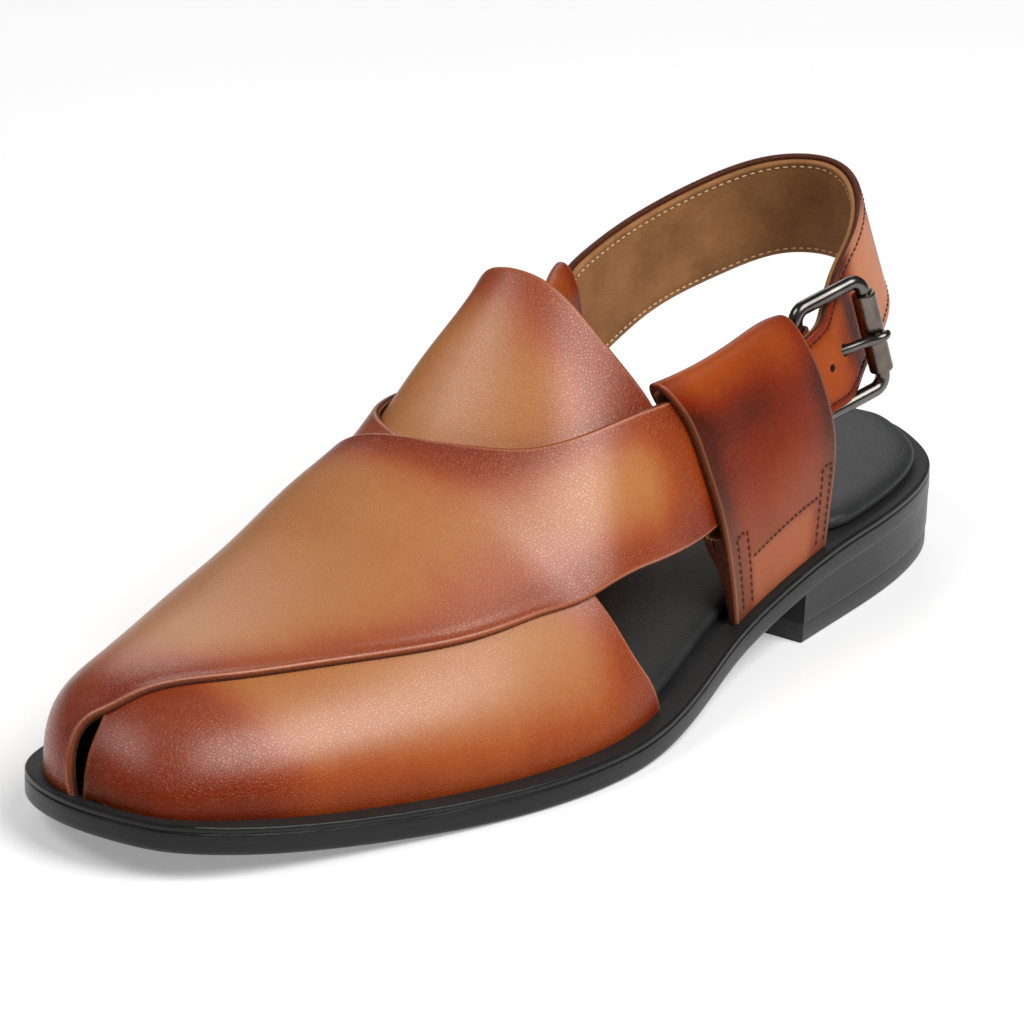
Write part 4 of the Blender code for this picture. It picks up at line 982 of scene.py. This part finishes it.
def loopBurn(points, fromEnd, share):
    burn = loopLook["burn"] - loopLook["barePale"] * barePatch(fromEnd, share)
    strength, reach = loopLook["edgeBurn"]
    burn = burn + strength * near(fromEnd, reach)
    strength, start, run = loopLook["topPale"]
    burn = burn - strength * past(share, start, run)
    strength, reach, middle = loopLook["upperBurn"]
    start, run = loopLook["rearPale"]
    burn = burn + strength * near(share, reach, middle) * past(-points[..., 1], -start, run)
    strength, scale, seed = loopLook["wander"]
    return burn + strength * wander(points, scale, seed)


def buildLoop(name, loop):
    rows = loopLook["section"]
    run = arcRun(rows[:, :2] * (loopLook["high"], 1.0))
    tip, turned, inside = run[5], run[8], run[12]
    dense = np.concatenate([np.linspace(0.0, tip, 66)[:-1], np.linspace(tip, inside, 70),
                            np.linspace(inside, run[-1], 55)[1:]])
    section = np.stack([smoothCurve(run, rows[:, k])(dense) for k in range(4)], axis=1)
    leaf = np.interp(dense, [0.0, run[7], turned, run[9], run[-1]], [1.0, 1.0, 0.0, -1.0, -1.0])
    inner = past(dense, turned, inside - turned)[None]
    wide = loopLook["wide"]
    columns = crowded(loopLook["columns"], wide)[:, None]
    fromEnd = np.minimum(columns, 1.0 - columns) * wide
    thin = rounded(fromEnd, loopLook["edgeRound"])
    deepStart, foldRun = loopLook["deepStart"], loopLook["foldRun"]

    def grid(share, out, sign):
        front, rear = loopEdges(loop, share)
        share = share[None]
        deep = past(share, deepStart, loopLook["deepRun"]) * ease((1.0 - share) / foldRun) * inner
        y = front[None] + columns * (rear - front - loop["setback"] * deep[0])[None]
        floor = seat(y)
        crown = (1.0 - np.abs(leaf))[None] * thin * sign
        z = floor + share * (foldHeight(loop, y) - floor) - crown
        room = loop["room"] * deep * past(y, *loopLook["roomY"])
        slim = loopLook["slim"] * np.clip(-leaf[None] * sign, 0.0, 1.0) \
            * (1.0 - ease(fromEnd / loopLook["slimRun"])) * (1.0 - past(share, deepStart, foldRun))
        out = out[None] - room + slim + loopLean(loop, share, y) - sign * thin * leaf[None]
        return wallPoint(loop["side"], y, z, out)
    outer = grid(section[:, 0], section[:, 1], 1.0)
    pocket = grid(section[:, 2], section[:, 3], -loopLook["pocketRound"])
    piece = twoSided(name, outer, pocket, tubeFaces, [loopLeather, lining, rawEdge])
    share = section[:, 0][None]
    # painted highlight along the loop's ends, and painted sheen low on the loop and on the pale
    # patch
    line = loopLook["line"] * near(fromEnd, vampLook["lineReach"], vampLook["lineIn"]) \
        + loopLook["paintedSheen"] * (past(-share, -loopLook["paintedSheenTop"], loopLook["paintedSheenRun"])
                              + barePatch(fromEnd, share))
    groove = np.full(outer.shape[:2], 9.0)
    facing = (outer[..., 1] > 0.0) & (section[:, 1][None] > 4.0)
    for route in loop["seams"]:
        seam = loopSeam(loop, route, loopLook["seamOut"])[0]
        groove[facing] = np.minimum(groove[facing], nearTo(outer[facing], seam))
    paintSheet(piece, loopBurn(outer, fromEnd, share), fromEnd, np.minimum(line, 1.0),
               near(groove, loopLook["groove"]))
    return piece


for side in ("lateral", "medial"):
    finishPiece(buildLoop("loop" + side.title(), loopLook[side]), "loop_" + side,
                "loop_" + side)
print("side loops made")


# heel strap: outer leather and camel lining, threaded through the buckle
buckleLook = {
    "bar": np.array([26.6, 74.6, 62.9]), "along": np.array([0.2958, 0.9236, 0.2437]),
    "up": np.array([-0.1681, -0.2008, 0.9651]), "length": 20.9, "height": 28.7,
    "corner": 3.5, "wire": 1.8, "roller": 2.95, "rollerLength": 20.8, "prong": 1.25,
    "tabThickness": 0.8, "tabWidth": 19.4, "tabEnds": (-13.0, -7.0), "tabInner": -3.05,
    "tabOuter": -2.1, "tabBurn": 0.45, "gap": 0.3, "holeRoom": 0.4, "spareRadius": 1.1,
    "spareHole": ((2.2, -1.4, -1.0), (4.4, -0.6, 9.0)), "prongUp": -0.4,
    "prongThick": [0.4] * 6 + [0.55, 1.0, 1.2, 1.2, 1.15, 0.95, 0.5],
    "prongWide": [1.3] * 7 + [1.25, 1.25, 1.25, 1.2, 1.0, 0.6],
    "prongTip": [0.93, 0.8, 0.5, 0.12],
}
strapLook = {
    "rows": 460, "thickness": 3.3, "outerLayer": 1.75, "liningInset": 0.7, "stitchIn": 2.2,
    "medialOut": 2.2, "lateralOut": 2.4, "burn": 0.42, "edgeBurn": (0.30, 3.0),
    # the sheen keys give strength, start and run along X and Y, and how much paler: painted sheen
    # on the strap's outer part by the buckle
    "sidePale": (0.17, 18.0, 8.0, 92.0, 12.0), "paintedSheen": 0.9, "paintedSheenX": (12.0, 8.0),
    "paintedSheenY": (92.0, 8.0), "paintedSheenPale": 0.16, "groove": 0.4,
    "heel": np.array([
        (-34.8, 83.6, 84.6, -33.8, 90.8, 58.6), (-27.6, 106.5, 91.2, -28.5, 115.8, 64.0),
        (-16.0, 121.0, 96.0, -18.0, 129.5, 68.4), (-1.5, 126.0, 96.9, -2.4, 132.6, 69.5),
        (12.5, 117.6, 94.0, 14.6, 126.4, 67.3), (22.4, 100.2, 87.9, 26.0, 109.6, 61.9)]),
    "threaded": np.array([
        (17.0, 15.6, -3.6, 18.6, -10.8, -3.7), (9.8, 11.6, 1.0, 12.2, -11.9, 1.3),
        (3.4, 10.6, 5.6, 6.0, -11.8, 5.2), (-2.4, 10.0, 7.3, 0.4, -11.4, 6.9)]),
    "medialEnd": np.array([(49.0, 74.0, 49.0, 47.5), (60.0, 77.4, 60.0, 50.2),
                           (70.0, 80.2, 72.0, 53.4)]),
    "lateralEnd": np.array([(60.5, 69.0, 66.5, 48.5), (54.5, 67.0, 60.5, 45.5)]),
}


def pocketPoint(loop, y, z, out):
    floor = seat(y)
    share = (z - floor) / (foldHeight(loop, y) - floor)
    return wallPoint(loop["side"], y, z, out + loopLean(loop, share, y))


def bucklePoint(along, up, out):
    outAxis = np.cross(buckleLook["along"], buckleLook["up"])
    along, up, out = np.broadcast_arrays(*[np.asarray(v, float) for v in (along, up, out)])
    return (buckleLook["bar"] + along[..., None] * buckleLook["along"]
            + up[..., None] * buckleLook["up"] + out[..., None] * outAxis)


def strapEnd(loop, rows, out):
    return np.concatenate([pocketPoint(loop, rows[:, 0], rows[:, 1], out),
                           pocketPoint(loop, rows[:, 2], rows[:, 3], out)], axis=1)


threaded = np.concatenate([bucklePoint(*strapLook["threaded"][:, :3].T),
                           bucklePoint(*strapLook["threaded"][:, 3:].T)], axis=1)
strapPath = np.concatenate([
    strapEnd(loopLook["medial"], strapLook["medialEnd"], strapLook["medialOut"]),
    strapLook["heel"], threaded,
    strapEnd(loopLook["lateral"], strapLook["lateralEnd"], strapLook["lateralOut"])])
strapLines = curveAt(strapPath, np.linspace(0.0, 1.0, strapLook["rows"]))
strapTop, strapLow = strapLines[:, :3], strapLines[:, 3:]
strapAlong = unit(np.gradient((strapTop + strapLow) / 2.0, axis=0))
strapDown = unit(strapLow - strapTop)
strapInward = unit(np.cross(strapAlong, strapTop - strapLow))
strapWide = np.linalg.norm(strapLow - strapTop, axis=1)


def strapPoint(row, fromTop, depth):  # row may be an array of whole or part rows
    k = np.clip(np.asarray(row, float), 0.0, strapLook["rows"] - 1.001)
    i = k.astype(int)
    t = (k - i)[..., None]

    def at(values):
        return values[i] * (1.0 - t) + values[i + 1] * t
    return (at(strapTop) + at(strapDown) * np.asarray(fromTop)[..., None]
            + at(strapInward) * np.asarray(depth)[..., None])


def strapSection():  # rows of distance in from an edge, or of share across, and depth
    layer, thick = strapLook["outerLayer"], strapLook["thickness"]
    inset, stitch = strapLook["liningInset"], strapLook["stitchIn"]
    outerFace = [(0.05, 0.55), (0.12, 0.3), (0.3, 0.1), (0.6, 0.0), (1.2, -0.02),
                 (stitch - 0.5, 0.02), (stitch, 0.14), (stitch + 0.5, 0.02), (4.0, 0.0)]
    middle = [(share, 0.0) for share in np.linspace(0.2, 0.8, 14)[1:-1]]
    wall = [(0.0, 0.9), (0.05, 1.3), (0.25, layer - 0.12), (inset + 0.5, layer),
            (inset + 0.35, layer + 0.08), (inset + 0.05, layer + 0.3), (inset, 2.4),
            (inset + 0.05, thick - 0.35), (inset + 0.25, thick - 0.08)]
    innerFace = [(inset + 0.55, thick), (stitch - 0.3, thick), (stitch, thick - 0.14),
                 (stitch + 0.35, thick), (4.5, thick)]
    return outerFace, middle, wall, innerFace


def buildStrap():
    outerFace, middle, wall, innerFace = strapSection()
    wide = strapWide
    columns, kinds = [], []

    def nearTop(inset):
        return wide * 0.0 + inset

    def nearLow(inset):
        return wide - inset

    def between(margin):
        return lambda share: margin + (wide - 2.0 * margin) * (share - 0.2) / 0.6
    thick = strapLook["thickness"]
    for place, offsets, kind in (
            (nearTop, outerFace, 0), (between(4.0), middle, 0), (nearLow, outerFace[::-1], 0),
            (nearLow, wall[:4], 2), (nearLow, wall[4:], 1), (nearLow, innerFace, 1),
            (between(4.5), [(share, thick) for share, _ in middle[::-1]], 1),
            (nearTop, innerFace[::-1], 1), (nearTop, wall[:3:-1], 1), (nearTop, wall[3::-1], 2)):
        columns += [(place(offset), depth) for offset, depth in offsets]
        kinds += [kind] * len(offsets)
    rows = np.arange(strapLook["rows"])
    rings = np.stack([strapPoint(rows, fromTop, np.full(len(rows), depth))
                      for fromTop, depth in columns], axis=1)
    piece = ofRings("heelStrap", rings, [strapLeather, lining, rawEdge],
                    kinds * (len(rows) - 1) + [2, 2], sharp=50.0)
    fromEdge = np.stack([np.minimum(fromTop, wide - fromTop) for fromTop, _ in columns], axis=1)
    # painted sheen: the outer part by the buckle is painted paler and given the pale line colour
    paintedSheen = past(rings[..., 0], *strapLook["paintedSheenX"]) * past(rings[..., 1], *strapLook["paintedSheenY"])
    strength, reach = strapLook["edgeBurn"]
    pale, startX, runX, endY, runY = strapLook["sidePale"]
    burn = strapLook["burn"] + strength * near(fromEdge, reach) - strapLook["paintedSheenPale"] * paintedSheen \
        - pale * past(rings[..., 0], startX, runX) * past(-rings[..., 1], -endY, runY) \
        + 0.05 * wander(rings, 0.06, 21)
    paint(piece, burn=burn, line=strapLook["paintedSheen"] * paintedSheen,
          seam=near(fromEdge, strapLook["groove"], strapLook["stitchIn"]))
    return piece


def rod(name, start, end, radius):  # a round bar for cutting
    axis = unit(end - start)
    side = unit(np.cross(axis, buckleLook["up"]))
    up = np.cross(side, axis)
    turn = circle(28)[:, None]
    rim = radius * (np.cos(turn) * side + np.sin(turn) * up)
    return ofRings(name, [start + rim, end + rim], [rawEdge])


def carve(piece, cutters):  # cuts each cutter's shape out, then drops the cutters
    for cutter in cutters:
        cut = piece.modifiers.new(cutter.name, "BOOLEAN")
        cut.object, cut.operation, cut.solver = cutter, "DIFFERENCE", "EXACT"
    applied(piece)
    for cutter in cutters:
        bpy.data.objects.remove(cutter)


def prongLine():
    ring = buckleLook["wire"] + 0.65
    turn = np.radians([60.0, 105.0, 150.0, 195.0, 235.0, 270.0])
    loop = np.stack([ring * np.cos(turn), ring * np.sin(turn)], axis=1)
    rest = buckleLook["roller"] + buckleLook["gap"] + buckleLook["prong"]
    shank = np.array([(2.6, -1.9), (6.0, -0.75), (12.0, 1.35), (17.5, 3.3),
                      (buckleLook["length"], rest), (22.3, rest - 0.5), (23.4, rest - 1.6)])
    return np.concatenate([loop, shank])


heelStrap = buildStrap()
line = prongLine()
prongHole = [bucklePoint(line[k, 0], buckleLook["prongUp"], line[k, 1]) for k in (7, 9)]
spareHole = [bucklePoint(*place) for place in buckleLook["spareHole"]]
carve(heelStrap, [rod("prongHole", *prongHole, buckleLook["prong"] + buckleLook["holeRoom"]),
                  rod("spareHole", *spareHole, buckleLook["spareRadius"])])
finishPiece(heelStrap, "sling_strap", "sling_strap")
print("heel strap made")


# buckle: wire frame, roller, prong and the leather tab that holds it
def buildFrame():
    half, corner = buckleLook["height"] / 2.0, buckleLook["corner"]
    far = buckleLook["length"] - corner
    centres = [(far, half - corner, 90.0), (corner, half - corner, 180.0),
               (corner, corner - half, 270.0), (far, corner - half, 360.0)]
    turn = circle(28)
    rings = []
    for along, up, start in centres:
        for angle in np.radians(start - 90.0 + np.linspace(0.0, 90.0, 15)):
            reach = corner + buckleLook["wire"] * np.cos(turn)
            rings.append(bucklePoint(along + reach * math.cos(angle),
                                     up + reach * math.sin(angle),
                                     buckleLook["wire"] * np.sin(turn)))
    return ofRings("buckleFrame", rings, [gunmetal], closed=True)


def buildRoller():
    turn, half = circle(48), buckleLook["rollerLength"] / 2.0
    radius, bore = buckleLook["roller"], buckleLook["wire"] + 0.2
    profile = [(bore, 0.0), (radius - 0.35, 0.0), (radius - 0.1, 0.1), (radius, 0.35),
               (radius, 0.8)]
    rows = [(r, half - e) for r, e in profile] + [(r, e - half) for r, e in reversed(profile)]
    rows += [(bore, e) for e in (-half * 0.5, half * 0.5)]
    rings = [bucklePoint(buckleLook["length"] + r * np.cos(turn), e, r * np.sin(turn))
             for r, e in rows]
    return ofRings("buckleRoller", rings, [rollerMetal], closed=True)


def buildProng():
    rows = np.column_stack([prongLine(), buckleLook["prongThick"], buckleLook["prongWide"]])
    dense = curveAt(rows, np.linspace(0.0, 1.0, 90))
    dense[-len(buckleLook["prongTip"]):, 2:] *= np.array(buckleLook["prongTip"])[:, None]
    direction = unit(np.gradient(dense[:, :2], axis=0))
    normal = np.stack([-direction[:, 1], direction[:, 0]], axis=1)
    turn = circle(20)
    across = dense[:, 2:3] * np.cos(turn)
    rings = bucklePoint(dense[:, :1] + across * normal[:, :1],
                        dense[:, 3:4] * np.sin(turn) + buckleLook["prongUp"],
                        dense[:, 1:2] + across * normal[:, 1:2])
    return ofRings("buckleProng", rings, [gunmetal])


def buildTab():
    levels = np.linspace(-0.5, 0.5, 40) * buckleLook["tabWidth"]
    ring = buckleLook["wire"] + 0.25 + buckleLook["tabThickness"] / 2.0
    turn = np.radians(np.linspace(240.0, 420.0, 7))
    rows = []
    for up in levels:
        def inPocket(along, out):
            y, z = bucklePoint(along, up, 0.0)[1:]
            return pocketPoint(loopLook["lateral"], y, z, out)
        path = [inPocket(along, buckleLook["tabInner"]) for along in buckleLook["tabEnds"]]
        path += [bucklePoint(ring * math.cos(t), up, ring * math.sin(t)) for t in turn]
        path += [inPocket(along, buckleLook["tabOuter"]) for along in buckleLook["tabEnds"][::-1]]
        rows.append(curveAt(path, np.linspace(0.0, 1.0, 60)))
    middle = np.array(rows)
    direction = unit(np.gradient(middle, axis=1))
    upAxis = np.broadcast_to(buckleLook["up"], direction.shape)
    normal = unit(np.cross(direction, upAxis)) * buckleLook["tabThickness"] / 2.0
    piece = twoSided("buckleTab", middle + normal, middle - normal, sheetFaces,
                     [strapLeather, strapLeather, rawEdge])
    paint(piece, burn=np.full(len(piece.data.vertices), buckleLook["tabBurn"]))
    return piece


for build, node in ((buildFrame, "buckle_frame"), (buildRoller, "buckle_roller"),
                    (buildProng, "buckle_prong")):
    finishPiece(build(), node, node)
buckleTab = buildTab()
corners = [[bucklePoint(a, u, n) for a, n in ((-4.2, -4.0), (4.0, -4.0), (4.0, 4.0),
                                              (-4.2, 4.0))] for u in (-2.4, 1.6)]
carve(buckleTab, [ofRings("prongNotch", corners, [rawEdge])])
finishPiece(buckleTab, "buckle_tab", "buckle_tab")
print("buckle made")


# stitches, by Geometry Nodes: one stitch on each marked point
def stitchTree():
    tree = bpy.data.node_groups.new("stitchRow", "GeometryNodeTree")
    for name, kind in (("Geometry", "Geometry"), ("Length", "Float"), ("Thickness", "Float"),
                       ("Thread", "Material")):
        tree.interface.new_socket(name, in_out="INPUT", socket_type="NodeSocket" + kind)
    tree.interface.new_socket("Geometry", in_out="OUTPUT", socket_type="NodeSocketGeometry")

    def node(kind, settings, values, output=0):
        return addNode(tree, kind, settings, values).outputs[output]

    def direction(name):
        return node("GeometryNodeInputNamedAttribute", {"data_type": "FLOAT_VECTOR"},
                    {"Name": name}, "Attribute")
    given = addNode(tree, "NodeGroupInput", {}, {}).outputs
    ball = node("GeometryNodeMeshUVSphere", {}, {"Segments": 7, "Rings": 5, "Radius": 0.5})
    size = node("ShaderNodeCombineXYZ", {}, {0: given["Length"], 1: given["Thickness"],
                                             2: given["Thickness"]})
    stitch = node("GeometryNodeTransform", {}, {"Geometry": ball, "Scale": size})
    turned = node("FunctionNodeAlignRotationToVector", {"axis": "X"},
                  {"Vector": direction("along")})
    upright = node("FunctionNodeAlignRotationToVector", {"axis": "Z", "pivot_axis": "X"},
                   {"Rotation": turned, "Vector": direction("up")})
    placed = node("GeometryNodeInstanceOnPoints", {}, {
        "Points": given["Geometry"], "Instance": stitch, "Rotation": upright})
    real = node("GeometryNodeRealizeInstances", {}, {"Geometry": placed})
    smooth = node("GeometryNodeSetShadeSmooth", {}, {"Geometry": real})
    threaded = node("GeometryNodeSetMaterial", {}, {"Geometry": smooth,
                                                    "Material": given["Thread"]})
    addNode(tree, "NodeGroupOutput", {}, {0: threaded})
    return tree


stitchNodes = stitchTree()
stitchLook = {"reach": 0.3, "sunk": 0.08, "strapPitch": 2.1, "strapThick": 0.55,
              "firstRow": 24, "lastRow": 8, "liningLast": 60, "loopPitch": 1.9,
              "loopLength": 1.55, "loopThick": 0.62}


def stitchRow(name, slotName, lines, pitch, length, thickness, thread):
    # lines holds pairs of point rows: the seam and the outward direction at each point
    centres, alongs, ups = [], [], []
    for seam, outward in lines:
        run = arcRun(seam)
        count = max(2, int(round(run[-1] / pitch)))
        at = (np.arange(count) + 0.5) * run[-1] / count
        reach = stitchLook["reach"]
        centres.append(resampled(seam, at, run))
        alongs.append(unit(resampled(seam, at + reach, run) - resampled(seam, at - reach, run)))
        ups.append(unit(resampled(outward, at, run)))
    centres = np.concatenate(centres)
    mesh = bpy.data.meshes.new(name)
    mesh.from_pydata(metres(centres), [], [])
    for key, values in (("along", np.concatenate(alongs)), ("up", np.concatenate(ups))):
        layer = mesh.attributes.new(key, "FLOAT_VECTOR", "POINT")
        layer.data.foreach_set("vector", values.astype(np.float32).ravel())
    piece = bpy.data.objects.new(name, mesh)
    scene.collection.objects.link(piece)
    modifier = piece.modifiers.new("stitches", "NODES")
    modifier.node_group = stitchNodes
    inputs = {s.name: s.identifier for s in stitchNodes.interface.items_tree
              if s.in_out == "INPUT"}
    for key, value in (("Length", length * 0.001), ("Thickness", thickness * 0.001),
                       ("Thread", thread)):
        modifier[inputs[key]] = value
    applied(piece)
    for key in ("along", "up"):
        if key in piece.data.attributes:
            piece.data.attributes.remove(piece.data.attributes[key])
    return finishPiece(piece, slotName)


def strapSeam(fromTop, depth, first, last):  # along the strap between two rows
    rows = np.linspace(first, last, 500)
    wide = np.interp(rows, np.arange(len(strapWide)), strapWide)
    place = np.full(len(rows), fromTop) if fromTop > 0.0 else wide + fromTop
    outward = strapPoint(rows, place, np.full(len(rows), -1.0)) \
        - strapPoint(rows, place, np.zeros(len(rows)))
    if depth > 1.0:
        outward = -outward
    return strapPoint(rows, place, np.full(len(rows), depth)), outward


sunk = stitchLook["sunk"]
for name, depth, spared, length, thread in (
        ("strapStitches", sunk, stitchLook["lastRow"], 1.75, darkThread),
        ("liningStitches", strapLook["thickness"] - sunk, stitchLook["liningLast"], 1.6,
         creamThread)):
    last = strapLook["rows"] - 1 - spared
    stitchRow(name, "sling_strap",
              [strapSeam(place, depth, stitchLook["firstRow"], last)
               for place in (strapLook["stitchIn"], -strapLook["stitchIn"])],
              stitchLook["strapPitch"], length, stitchLook["strapThick"], thread)
for side in ("lateral", "medial"):
    loop = loopLook[side]
    stitchRow("loopStitches" + side.title(), "loop_" + side,
              [loopSeam(loop, route, loopLook["stitchOut"]) for route in loop["seams"]],
              stitchLook["loopPitch"], stitchLook["loopLength"], stitchLook["loopThick"],
              darkThread)
print("stitches made")


# floor, light and camera
studio = {
    "azimuth": 37.84, "elevation": 20.41, "roll": 0.95, "distance": 1657.6, "focal": 174.1,
    "aim": (-83.98, 29.7, 40.1), "zoom": 1.36, "centre": (0.0, -8.0, 44.0),
    "world": 0.13, "floorGlow": 0.28, "floorHalf": 6.0,
    "lights": [  # name, place, power, width, height
        ("keyLight", (1010.0, 30.0, 1240.0), 23.0, 1.2, 1.2),
        ("leftLight", (-514.0, -891.0, 1226.0), 7.0, 0.8, 0.7),
        ("rearLight", (-891.0, 1061.0, 800.0), 3.0, 0.9, 0.7)],
}


def aimed(back, roll):
    right = unit(np.cross((0.0, 0.0, 1.0), back))
    up = np.cross(back, right)
    turned = right * math.cos(roll) + up * math.sin(roll)
    return np.column_stack([turned, -right * math.sin(roll) + up * math.cos(roll), back])


def placedObject(name, data, place, back, roll=0.0):
    made = bpy.data.objects.new(name, data)
    scene.collection.objects.link(made)
    made.matrix_world = Matrix.Translation(Vector(np.array(place) * 0.001)) \
        @ Matrix(aimed(back, roll).tolist()).to_4x4()
    return made


azimuth, elevation = math.radians(studio["azimuth"]), math.radians(studio["elevation"])
back = np.array([math.sin(azimuth) * math.cos(elevation),
                 -math.cos(azimuth) * math.cos(elevation), math.sin(elevation)])
eye = np.array(studio["aim"]) + back * studio["distance"]
camera = bpy.data.cameras.new("camera")
camera.sensor_width = 36.0
camera.lens = studio["focal"] * studio["zoom"]
camera.clip_end = 50.0
scene.camera = placedObject("camera", camera, eye, unit(eye - np.array(studio["centre"])),
                            math.radians(studio["roll"]))

floorMesh = bpy.data.meshes.new("floor")
half = studio["floorHalf"]
floorMesh.from_pydata([(-half, -half, 0.0), (half, -half, 0.0), (half, half, 0.0),
                       (-half, half, 0.0)], [], [(0, 1, 2, 3)])
floorFinish = Finish("paleFloor")
floorCloud = floorFinish.noise(3.0, 2.0)
floorFinish.set(Base_Color=floorFinish.ramp(floorCloud, [(0.3, (0.86, 0.86, 0.86, 1.0)),
                                                         (0.7, (0.88, 0.88, 0.88, 1.0))]),
                Roughness=0.7, Emission_Color=(1.0, 1.0, 1.0, 1.0),
                Emission_Strength=studio["floorGlow"])
floorMesh.materials.append(floorFinish.material)
floor = bpy.data.objects.new("floor", floorMesh)
scene.collection.objects.link(floor)


def softBox(name, place, power, wide, tall):
    light = bpy.data.lights.new(name, "AREA")
    light.shape = "ELLIPSE"
    light.size, light.size_y, light.energy = wide, tall, power
    back = unit(np.array(place) - np.array([0.0, 0.0, 40.0]))
    return placedObject(name, light, place, back)


for row in studio["lights"]:
    softBox(*row)
world = bpy.data.worlds.new("studio")
scene.world = world
world.use_nodes = True
sky = world.node_tree.nodes["Background"]
sky.inputs["Color"].default_value = (1.0, 1.0, 1.0, 1.0)
sky.inputs["Strength"].default_value = studio["world"]
scene.view_settings.view_transform = "Standard"
print("studio made")
